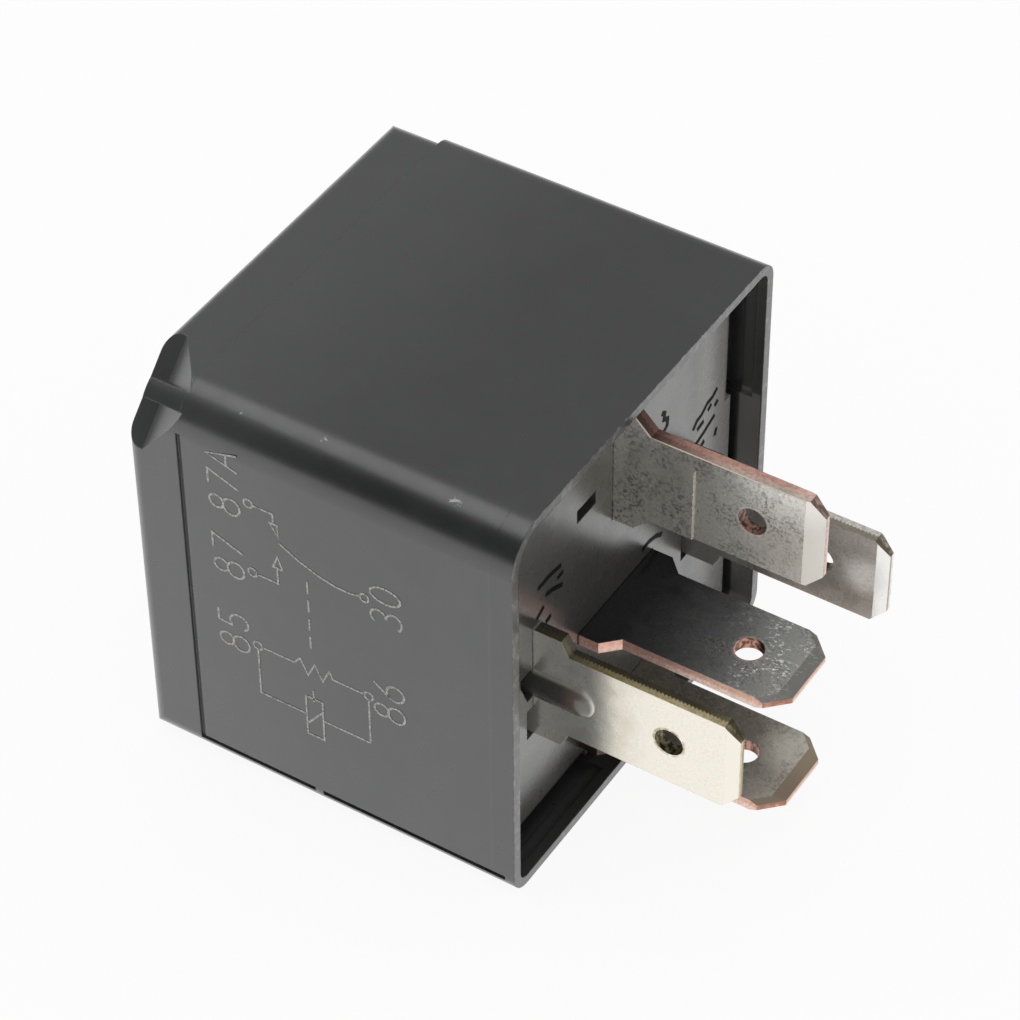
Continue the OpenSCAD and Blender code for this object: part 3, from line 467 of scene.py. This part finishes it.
def ceramic(name):
    """Lacquer over the resistor's ceramic rod, without colour rings."""
    f = Finish(name, Coat_Weight=0.35, Coat_Roughness=0.15)
    cloud = f.noise(0.7, 3, 0.5)
    return f.finished(
        Base_Color=f.mix(f.fit(cloud, 0.3, 0.7), colour(92, 126, 138), colour(120, 156, 166)),
        Roughness=f.fit(cloud, 0.3, 0.7, 0.34, 0.44),
        Normal=f.bump(f.noise(0.15, 2, 0.5), 0.006, 0.5),
    )


def nylon(name):
    """Natural nylon of the coil's bobbin."""
    f = Finish(name, Subsurface_Weight=0.06)
    f.shader.inputs["Subsurface Radius"].default_value = (0.6 * MM, 0.4 * MM, 0.3 * MM)
    cloud = f.fit(f.noise(1.6, 3, 0.5), 0.3, 0.7)
    return f.finished(
        Base_Color=f.mix(cloud, colour(206, 198, 178), colour(224, 217, 200)),
        Roughness=f.fit(cloud, 0, 1, 0.46, 0.4),
        Normal=f.bump(f.noise(0.12, 3, 0.6), 0.005, 0.5, f.round_edges(0.08)),
    )


def ink(name, tone, faded, gaps, gloss=0.4):
    """Thin print that shows its faded tone wherever a noise lies below gaps."""
    f = Finish(name, Specular_IOR_Level=gloss)
    worn = f.fit(f.noise(0.14, 3, 0.7), gaps, gaps + 0.12)
    return f.finished(Base_Color=f.mix(worn, faded, tone), Roughness=f.fit(worn, 0, 1, 0.6, 0.5))


# Pale nicks on the cover's round edge: place and size in mm, and stretch
NICKS = (
    ((END + 7.25, NEAR + 1.5, TOP - 0.55), 0.16, (1.0, 1.2, 1.2)),
    ((END + 12.4, NEAR + 1.9, TOP - 0.35), 0.2, (1.5, 1.1, 1.1)),
    ((END + 12.95, NEAR + 1.0, TOP - 1.0), 0.22, (1.3, 1.0, 1.0)),
    ((END + 21.05, NEAR + 1.65, TOP - 0.4), 0.26, (1.7, 1.0, 1.0)),
)
# Places of painted light and of a lighter tone: mask, share and tone
COVER_PAINTED_LIGHT = (
    # the far inner wall, lightened as painted light
    (far_wall, 1.0, colour(104, 103, 101)),
    # a lighter tone towards the closed end
    (closed_end, 0.24, colour(95, 96, 96)),
    # the rim's end face, with a broken painted highlight
    (rim_highlight, 0.26, colour(170, 168, 160)),
)
BASE_PAINTED_LIGHT = (
    # the base along the far wall, lightened as painted light
    (far_side, 1.0, colour(150, 149, 147)),
    # a lighter tone on the lower base beside the near coil terminal
    (near_side, 0.14, colour(150, 149, 146)),
)
cover_black = moulded(
    "cover_black", *tones((38, 39, 39), (42, 43, 43)), rough=0.3, coat=0.38,
    nicks=NICKS, crease=top_relief, painted_light=COVER_PAINTED_LIGHT,
)
base_black = moulded("base_black", *tones((60, 59, 57), (66, 65, 63)), rough=0.28, coat=0.7, painted_light=BASE_PAINTED_LIGHT)

# Heights of the upright blades' middles, in mm
COMMON_Z = (common_low.z + common_high.z) / 2 / MM
COIL_Z = coil_high.z / MM - ROOT_W / 2
WHITE_TIN, CREAM = tones((253, 250, 244), (251, 245, 233))
blade_30 = plated(
    "tin_on_copper_30", "y", 0.0, common_high.x / MM - RIM, COMMON_Z,
    bevel=(1.2, WHITE_TIN, 0.6),
    face=tones(
        (214, 212, 203), (206, 204, 196), (216, 214, 208), (232, 230, 224), (238, 235, 228), (236, 233, 225),
    ),
    edge=(
        tones((84, 66, 58), (160, 132, 120), (222, 196, 182), (216, 198, 186), (210, 194, 182)),
        tones((120, 92, 82), (196, 150, 134), (226, 172, 154), (230, 180, 164), (240, 208, 194)),
        colour(92, 58, 46),
    ),
    wall=tones((74, 58, 52), (166, 126, 112)), lip=WHITE_TIN, fleck=(colour(118, 117, 114), 0.75),
    metallic=0.72, painted_sheen=(9.4, COMMON_Z + 2.6, 4.2, WHITE_TIN, 0.0),
)
blade_85 = plated(
    "tin_on_brass_85", "y", coil_high.y / MM - BLADE_T / 2, coil_high.x / MM - RIM, COIL_Z,
    bevel=(0.8, CREAM, 0.0),
    face=tones((214, 213, 205), (190, 190, 184), (238, 232, 216)) + (CREAM,) * 4,
    # The far half of the cut edge is darkened as painted shade
    edge=(
        tones((100, 94, 72), (190, 174, 126), (226, 212, 160), (232, 218, 172), (222, 208, 164)),
        tones((84, 80, 72), (88, 82, 66), (90, 82, 64), (88, 80, 58), (160, 150, 120)),
        colour(66, 58, 38),
    ),
    wall=tones((40, 38, 30), (140, 132, 100)), lip=colour(176, 166, 120),
    fleck=(colour(222, 216, 204), 0.3), metallic=0.82, root_matte=0.3, bead=0.9,
)
blade_86 = plated(
    "tin_on_brass_86", "y", far_high.y / MM - BLADE_T / 2, far_high.x / MM - RIM, COIL_Z,
    bevel=(0.8, PAINTED_GLINT, 0.0),
    face=tones((150, 149, 146), (196, 192, 186), (206, 200, 192), (212, 206, 198)),
    edge=(
        tones((84, 78, 62), (150, 142, 122), (160, 152, 136), (170, 162, 148), (178, 170, 156)),
        tones((120, 110, 90), (200, 190, 170), (250, 246, 236), (252, 248, 240), (252, 248, 240)),
        colour(110, 98, 70),
    ),
    wall=tones((60, 56, 44), (150, 138, 108)), lip=colour(226, 216, 196),
    fleck=(colour(140, 136, 128), 0.4), metallic=0.8,
    painted_sheen=(9.9, COIL_Z + 0.1, 2.0, colour(255, 250, 244), 0.85), root_matte=0.6,
)

# Cut edges and hole walls of the two crosswise blades. The lower one's edges are dark by the base
EDGE_BY_BASE = colour(74, 68, 62)
CROSS_EDGE = (
    tones((244, 190, 172), (236, 184, 166), (222, 178, 160), (228, 186, 162), (222, 174, 150)),
    tones((240, 206, 192), (244, 216, 204), (246, 226, 214), (240, 216, 202), (236, 214, 200)),
    colour(160, 98, 78),
)
LOW_EDGE = ((EDGE_BY_BASE,) + CROSS_EDGE[0][1:], (EDGE_BY_BASE,) + CROSS_EDGE[1][1:], CROSS_EDGE[2])
CROSS_WALL = tones((104, 74, 62), (204, 154, 134))
blade_87a = plated(
    "tin_on_copper_87a", "z", rest_high.z / MM - BLADE_T / 2, rest_high.x / MM - RIM, 0.0,
    bevel=(0.8, colour(158, 157, 152), 0.0),
    # Faces near black by the rim, lightening to the tip: painted shade and a painted dark reflection
    face=tones(
        (76, 76, 76), (108, 108, 108), (146, 146, 146), (168, 168, 166), (186, 186, 182), (200, 199, 194),
    ),
    edge=CROSS_EDGE, wall=CROSS_WALL, lip=colour(226, 196, 184), fleck=(colour(84, 85, 85), 0.5),
    metallic=0.92, glints=1.0,
)
blade_87 = plated(
    "tin_on_copper_87", "z", work_low.z / MM + BLADE_T / 2, work_high.x / MM - RIM, 0.0,
    bevel=(0.8, colour(164, 148, 128), 0.0),
    face=tones(
        (186, 180, 168), (186, 180, 168), (184, 178, 167), (186, 181, 170), (214, 208, 197), (236, 230, 218),
    ),
    edge=LOW_EDGE, wall=CROSS_WALL, lip=colour(216, 200, 184), fleck=(colour(120, 117, 109), 0.5),
    metallic=0.85, painted_sheen=(9.6, 1.6, 3.0, colour(240, 234, 222), 0.75),
)

iron = metal("plated_iron", *tones((186, 184, 176), (150, 148, 142)), 0.32)
rivet = metal("rivet_steel", *tones((196, 192, 182), (160, 156, 148)), 0.28, 0.4)
bronze = metal("spring_bronze", *tones((222, 176, 112), (192, 140, 82)), 0.24, 0.9, (1, 12, 1))
silver = metal("contact_silver", *tones((232, 230, 224), (200, 198, 192)), 0.22, 0.3)
tinned = metal("tinned_wire", *tones((222, 220, 214), (184, 182, 176)), 0.26, 0.3)
winding_wire = winding("coil_wire")

LOOKS = {
    "cover": cover_black,
    "base": base_black,
    "terminal_30": blade_30,
    "terminal_85": blade_85,
    "terminal_86": blade_86,
    "terminal_87": blade_87,
    "terminal_87a": blade_87a,
    "yoke": iron,
    "core": iron,
    "armature": iron,
    "bobbin": nylon("bobbin_nylon"),
    "coil_winding": winding_wire,
    "coil_end_85": winding_wire,
    "coil_end_86": winding_wire,
    "resistor": ceramic("resistor_lacquer"),
    "resistor_lead_85": tinned,
    "resistor_lead_86": tinned,
    "root_rivet": rivet,
    "yoke_rivet_near": rivet,
    "yoke_rivet_far": rivet,
    "armature_rivet_near": rivet,
    "armature_rivet_far": rivet,
    "contact_spring": bronze,
    "moving_contact": silver,
    "contact_no": silver,
    "contact_nc": silver,
}
for name, look in LOOKS.items():
    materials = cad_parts[name].data.materials
    materials.clear()
    materials.append(look)

# ---------- line drawing: the diagram and the terminal numbers ----------


def arc(cx, cy, rx, ry, start, end, steps=14):
    """Points on an ellipse from one angle to another, in degrees."""
    turn = [math.radians(start + (end - start) * i / steps) for i in range(steps + 1)]
    return [(cx + rx * math.cos(a), cy + ry * math.sin(a)) for a in turn]


# Strokes of each figure in a box 0.6 wide and 1 high, and the step from one figure to the next
FIGURES = {
    "0": [arc(0.3, 0.5, 0.27, 0.48, 0, 360, 20)],
    "3": [arc(0.28, 0.74, 0.24, 0.24, 150, -90), arc(0.27, 0.25, 0.27, 0.25, 90, -150)],
    "5": [[(0.54, 0.98), (0.12, 0.98), (0.08, 0.55)] + arc(0.29, 0.3, 0.27, 0.3, 125, -150)],
    "6": [[(0.46, 0.98), (0.14, 0.55)] + arc(0.3, 0.29, 0.27, 0.28, 160, -200, 20)],
    "7": [[(0.04, 0.98), (0.57, 0.98), (0.2, 0.0)]],
    "8": [arc(0.3, 0.75, 0.22, 0.23, 0, 360, 18), arc(0.3, 0.27, 0.28, 0.27, 0, 360, 20)],
    "A": [[(0.0, 0.0), (0.3, 1.0), (0.6, 0.0)], [(0.11, 0.35), (0.49, 0.35)]],
}
FIGURE_STEP = 0.82


def words(text, height, along, up, start):
    """Strokes of a number that begins at start and runs along one direction."""
    return [
        [start + along * height * (x + i * FIGURE_STEP) + up * height * y for x, y in stroke]
        for i, letter in enumerate(text)
        for stroke in FIGURES[letter]
    ]


def ribbons(name, lines, width, out, material):
    """One mesh of flat strokes along 3-D lines, lifted off the face that looks along out.

    Every second stroke lies a little higher, so that strokes which cross don't share a plane.
    """
    verts, faces = [], []
    for k, line in enumerate(lines):
        level = PRINT_LIFT * (1 + 0.5 * (k % 2))
        points = [Vector(p) for p in line]
        closed = (points[0] - points[-1]).length < 1e-9
        if closed:
            points = points[:-1]
        count = len(points)
        first = len(verts)
        for i, p in enumerate(points):
            before = points[i - 1] if (i or closed) else p
            after = points[(i + 1) % count] if (i < count - 1 or closed) else p
            ahead = (after - p).normalized() if after != p else (p - before).normalized()
            behind = (p - before).normalized() if before != p else ahead
            run = (ahead + behind).normalized()
            reach = width / 2 / max(0.5, run.dot(ahead))
            across = run.cross(out) * reach
            verts += [p + across + out * level, p - across + out * level]
        spans = count if closed else count - 1
        for i in range(spans):
            a, b = first + 2 * i, first + 2 * ((i + 1) % count)
            faces.append((a, b, b + 1, a + 1))
    mesh = bpy.data.meshes.new(name)
    mesh.from_pydata([tuple(v) for v in verts], [], faces)
    mesh.materials.append(material)
    piece = bpy.data.objects.new(name, mesh)
    bpy.context.collection.objects.link(piece)
    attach(piece, "housing")
    return piece


# Places on the diagram face, in mm: u from the closed end, v from the ground.
# Columns of the rings at the lines' ends; rows of rest contact, working contact, common and coil
LEFT_U, RIGHT_U = 8.35, 15.95
REST_V, WORK_V, COMMON_V, COIL_V = 22.5, 17.2, 19.15, 11.35
RING_R = 0.3
# The coil's box from left to right and from bottom to top, its slash, and the loop's height
BOX_LEFT, BOX_RIGHT, BOX_LOW, BOX_HIGH = 11.55, 12.7, 5.9, 9.0
BOX = (
    (BOX_LEFT, BOX_LOW), (BOX_RIGHT, BOX_LOW), (BOX_RIGHT, BOX_HIGH), (BOX_LEFT, BOX_HIGH),
    (BOX_LEFT, BOX_LOW),
)
SLASH_LOW, SLASH_HIGH = 6.7, 8.2
LOOP_V = 7.5
# The resistor's zigzag: where it starts, its teeth, their step and half height, and its ends' inset
ZIGZAG_U, TEETH, TOOTH_STEP, TOOTH_H, ZIGZAG_INSET = 13.3, 5, 0.5, 0.55, 0.2
ZIGZAG_END_U = 10.85
# The dashed link between coil and contact: its place, top, dash, gap, and room round the zigzag
LINK_U, LINK_TOP, DASH, GAP = 12.1, 18.4, 0.95, 0.5
LINK_ROOM, BOX_ROOM = 0.9, 0.3
# Arms of the fixed contacts: where they turn, and their ends
REST_ARM_U, REST_ARM_V = 10.0, 21.75
WORK_ARM_U, WORK_ARM_V = 10.1, 18.5
REST_ARROW = ((9.75, 21.75), (10.25, 21.75), (10.3, 20.85), (9.75, 21.75))
WORK_ARROW = ((9.8, 18.4), (10.45, 18.4), (10.15, 19.3), (9.8, 18.4))
SWING = ((15.0, 18.98), (14.0, 19.0), (12.9, 19.25), (11.6, 19.75), (10.3, 20.45))
# The numbers: height, places left and right, and strokes a little wider than the lines
FIGURE_H, LEFT_NUMBER_U, RIGHT_NUMBER_U = 2.1, 7.75, 18.4
LINE_W, FIGURE_W = 0.125, 0.14375
# How far a print lies above its face, in metres
PRINT_LIFT = 0.012 * MM


def on_face(u, v):
    """A place on the diagram face."""
    return Vector((cover_low.x + u * MM, cover_low.y, v * MM))


def drawn(*points):
    """A line on the diagram face."""
    return [on_face(u, v) for u, v in points]


zigzag = [(RIGHT_U - RING_R, COIL_V), (ZIGZAG_U + ZIGZAG_INSET, COIL_V)]
for i in range(TEETH):
    zigzag.append((ZIGZAG_U - TOOTH_STEP * i, COIL_V + (-TOOTH_H if i % 2 else TOOTH_H)))
zigzag += [(ZIGZAG_END_U, COIL_V), (LEFT_U + RING_R, COIL_V)]
RINGS = ((LEFT_U, REST_V), (LEFT_U, WORK_V), (LEFT_U, COIL_V), (RIGHT_U, COMMON_V), (RIGHT_U, COIL_V))
diagram = [drawn(*arc(u, v, RING_R, RING_R, 0, 360)) for u, v in RINGS]
diagram += [
    drawn((LEFT_U + RING_R, REST_V), (REST_ARM_U, REST_V), (REST_ARM_U, REST_ARM_V)),
    drawn(*REST_ARROW),
    drawn((LEFT_U + RING_R, WORK_V), (WORK_ARM_U, WORK_V), (WORK_ARM_U, WORK_ARM_V)),
    drawn(*WORK_ARROW),
    drawn((RIGHT_U - RING_R, COMMON_V), *SWING),
    drawn(*zigzag),
    drawn((LEFT_U, COIL_V - RING_R), (LEFT_U, LOOP_V), (BOX_LEFT, LOOP_V)),
    drawn((BOX_RIGHT, LOOP_V), (RIGHT_U, LOOP_V), (RIGHT_U, COIL_V - RING_R)),
    drawn(*BOX),
    drawn((BOX_LEFT, SLASH_LOW), (BOX_RIGHT, SLASH_HIGH)),
]
v = LINK_TOP
while v > BOX_HIGH + BOX_ROOM:
    if abs(v - DASH / 2 - COIL_V) > LINK_ROOM:
        diagram.append(drawn((LINK_U, v), (LINK_U, v - DASH)))
    v -= DASH + GAP
print_ink = ink("print_ink", *tones((190, 188, 185), (128, 127, 125)), 0.42)
FRONT = Vector((0, -1, 0))
ribbons("diagram_lines", diagram, LINE_W * MM, FRONT, print_ink)

numbers = []
for text, u, v in (
    ("87A", LEFT_NUMBER_U, 21.0),
    ("87", LEFT_NUMBER_U, 16.1),
    ("85", LEFT_NUMBER_U, 10.2),
    ("30", RIGHT_NUMBER_U, 17.6),
    ("86", RIGHT_NUMBER_U, 10.1),
):
    numbers += words(text, FIGURE_H * MM, Vector((0, 0, 1)), Vector((-1, 0, 0)), on_face(u, v))
ribbons("diagram_numbers", numbers, FIGURE_W * MM, FRONT, print_ink)

# ---------- painted shadows of the raised numbers beside the blades on the base ---

# Painted shadows along the upper sides of the raised figures 86, 85 and 30, and one curved stroke: y from
# the middle and z from the ground, in mm
FIGURE_SHADOW_W = 0.33
FIGURE_SHADOWS = (
    ((8.5, 17.95), (8.95, 18.35), (9.5, 18.45), (10.1, 18.85), (10.7, 18.9), (11.25, 19.2)),
    ((9.0, 17.6), (9.75, 17.75)),
    ((10.2, 18.2), (10.6, 18.45)),
    ((11.0, 17.95), (11.35, 18.2)),
    ((8.7, 16.5), (9.8, 16.8), (11.05, 17.25)),
    ((9.35, 15.85), (9.9, 16.1)),
    ((11.15, 15.5), (11.3, 16.05)),
    ((-8.5, 19.25), (-7.3, 19.3), (-6.05, 19.1)),
    ((-6.45, 18.4), (-5.8, 18.45)),
    ((-7.65, 18.1), (-6.9, 17.95), (-5.9, 17.5)),
    ((-8.6, 17.0), (-7.85, 17.4)),
    ((-7.65, 15.95), (-7.1, 16.1)),
    ((4.8, 22.1), (5.15, 21.85), (5.05, 21.45), (5.5, 21.2), (5.45, 20.7), (5.0, 20.45)),
    ((2.9, 12.9), (3.7, 12.95), (4.5, 12.75), (5.2, 12.35)),
)
figure_shadows = [[Vector((base_x, y * MM, z * MM)) for y, z in line] for line in FIGURE_SHADOWS]
# Near-black ink for the painted shadows
shadow_ink = ink("figure_shadow_black", *tones((12, 12, 12), (26, 26, 26)), 0.3, 0.1)
shadows_piece = ribbons("base_number_shadows", figure_shadows, FIGURE_SHADOW_W * MM, Vector((1, 0, 0)), shadow_ink)

# ---------- leaf spring: a copy of the contact spring, in its place --------------------------------

leaf = bpy.data.objects.new("leaf_spring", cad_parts["contact_spring"].data.copy())
bpy.context.collection.objects.link(leaf)
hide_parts("contact_spring")
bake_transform(leaf)

# ---------- floor and world ----------


def new_node(tree, kind, **inputs):
    """A node whose inputs, named with _ for a space, are links or plain values."""
    node = tree.nodes.new(kind)
    for key, value in inputs.items():
        put(tree, node.inputs[key.replace("_", " ")], value)
    return node


def joined(tree, operation, a, b):
    """The result of a Math node on two links or values."""
    node = tree.nodes.new("ShaderNodeMath")
    node.operation = operation
    put(tree, node.inputs[0], a)
    put(tree, node.inputs[1], b)
    return node.outputs[0]


def make_floor():
    """White floor. It glows for camera, glossy and transmission rays, and keeps a share of its shadow."""
    material = bpy.data.materials.new("floor_white")
    material.use_nodes = True
    tree = material.node_tree
    tree.nodes.clear()
    path = tree.nodes.new("ShaderNodeLightPath").outputs
    seen = joined(tree, "MAXIMUM", path["Is Camera Ray"], path["Is Glossy Ray"])
    seen = joined(tree, "MAXIMUM", seen, path["Is Transmission Ray"])
    paper_share = joined(tree, "MULTIPLY", path["Is Camera Ray"], SHADOW_SHARE)
    paper = new_node(tree, "ShaderNodeBsdfDiffuse", Color=(PAPER, PAPER, PAPER, 1))
    mix = new_node(tree, "ShaderNodeMixShader", Fac=joined(tree, "SUBTRACT", seen, paper_share))
    tree.links.new(paper.outputs[0], mix.inputs[1])
    tree.links.new(tree.nodes.new("ShaderNodeEmission").outputs[0], mix.inputs[2])
    new_node(tree, "ShaderNodeOutputMaterial", Surface=mix.outputs[0])
    mesh = bpy.data.meshes.new("floor")
    corners = ((-1, -1), (1, -1), (1, 1), (-1, 1))
    verts = [(x * FLOOR_HALF, y * FLOOR_HALF, -FLOOR_DROP) for x, y in corners]
    mesh.from_pydata(verts, [], [(0, 1, 2, 3)])
    mesh.materials.append(material)
    floor = bpy.data.objects.new("floor", mesh)
    bpy.context.collection.objects.link(floor)


def make_world():
    """White to camera and transmission rays. In gloss it is grey, with a dark card in front."""
    world = bpy.data.worlds.new("studio")
    bpy.context.scene.world = world
    world.use_nodes = True
    tree = world.node_tree
    tree.nodes.clear()
    turn = tree.nodes.new("ShaderNodeVectorMath")
    turn.operation = "DOT_PRODUCT"
    tree.links.new(tree.nodes.new("ShaderNodeTexCoord").outputs["Generated"], turn.inputs[0])
    turn.inputs[1].default_value = CARD_WAY
    card = new_node(
        tree, "ShaderNodeMapRange", Value=turn.outputs["Value"],
        From_Min=CARD_EDGE, From_Max=CARD_CORE, To_Min=GLOSS_LEVEL, To_Max=CARD_LEVEL,
    )
    card.interpolation_type = "SMOOTHSTEP"
    path = tree.nodes.new("ShaderNodeLightPath").outputs
    mirrored = card.outputs["Result"]
    gloss = new_node(tree, "ShaderNodeMix", Factor=path["Is Glossy Ray"], A=WORLD_LEVEL, B=mirrored)
    clear = joined(tree, "MAXIMUM", path["Is Camera Ray"], path["Is Transmission Ray"])
    white = new_node(tree, "ShaderNodeMix", Factor=clear, A=gloss.outputs["Result"], B=1.0)
    back = new_node(tree, "ShaderNodeBackground", Strength=white.outputs["Result"])
    new_node(tree, "ShaderNodeOutputWorld", Surface=back.outputs[0])


# The dark card in glossy rays: its direction, and how wide and how dark it is
CARD_WAY = Vector((-0.33, -0.83, 0.45)).normalized()
CARD_EDGE, CARD_CORE, CARD_LEVEL = 0.72, 0.9, 0.03
# Strength of the world in gloss and for all other light
GLOSS_LEVEL, WORLD_LEVEL = 0.5, 0.95
# The floor: its albedo, the share of it that the camera sees shaded, its half size and its drop
PAPER, SHADOW_SHARE = 0.86, 0.09
FLOOR_HALF, FLOOR_DROP = 1.5, 0.02 * MM
make_floor()
make_world()

# ---------- lamps ----------


def lamp(name, azimuth, elevation, distance, width, height, watts):
    """Rectangular softbox aimed at the middle of the relay. Azimuth 0 is in front, 90 at the blades."""
    a, e = math.radians(azimuth), math.radians(elevation)
    way = Vector((math.sin(a) * math.cos(e), -math.cos(a) * math.cos(e), math.sin(e)))
    data = bpy.data.lights.new(name, "AREA")
    data.shape = "RECTANGLE"
    data.size, data.size_y = width, height
    data.energy = watts
    o = bpy.data.objects.new(name, data)
    bpy.context.collection.objects.link(o)
    o.location = (cad_low + cad_high) / 2 + way * distance
    o.rotation_mode = "QUATERNION"
    o.rotation_quaternion = (-way).to_track_quat("-Z", "Y")


lamp("top_box", azimuth=-75, elevation=80, distance=0.5, width=0.36, height=0.46, watts=0.6)

# ---------- camera ----------

# Focal length and sensor in mm, the camera's place, and its angles in degrees
LENS, SENSOR = 137.31, 36.0
CAMERA_AT = Vector((86.19, -137.81, 169.65)) * MM
VIEW_AZIMUTH, VIEW_ELEVATION, ROLL = 32.60, 43.42, -0.504
a, e = math.radians(VIEW_AZIMUTH), math.radians(VIEW_ELEVATION)
toward = -Vector((math.sin(a) * math.cos(e), -math.cos(a) * math.cos(e), math.sin(e)))
camera_data = bpy.data.cameras.new("camera")
camera_data.lens, camera_data.sensor_width = LENS, SENSOR
camera_data.clip_start, camera_data.clip_end = 0.01, 20.0
camera = bpy.data.objects.new("camera", camera_data)
bpy.context.collection.objects.link(camera)
level = toward.to_track_quat("-Z", "Y").to_matrix().to_4x4()
roll = Matrix.Rotation(math.radians(ROLL), 4, "Z")
camera.matrix_world = Matrix.Translation(CAMERA_AT) @ level @ roll
bpy.context.scene.camera = camera
bpy.context.scene.view_settings.view_transform = "Standard"
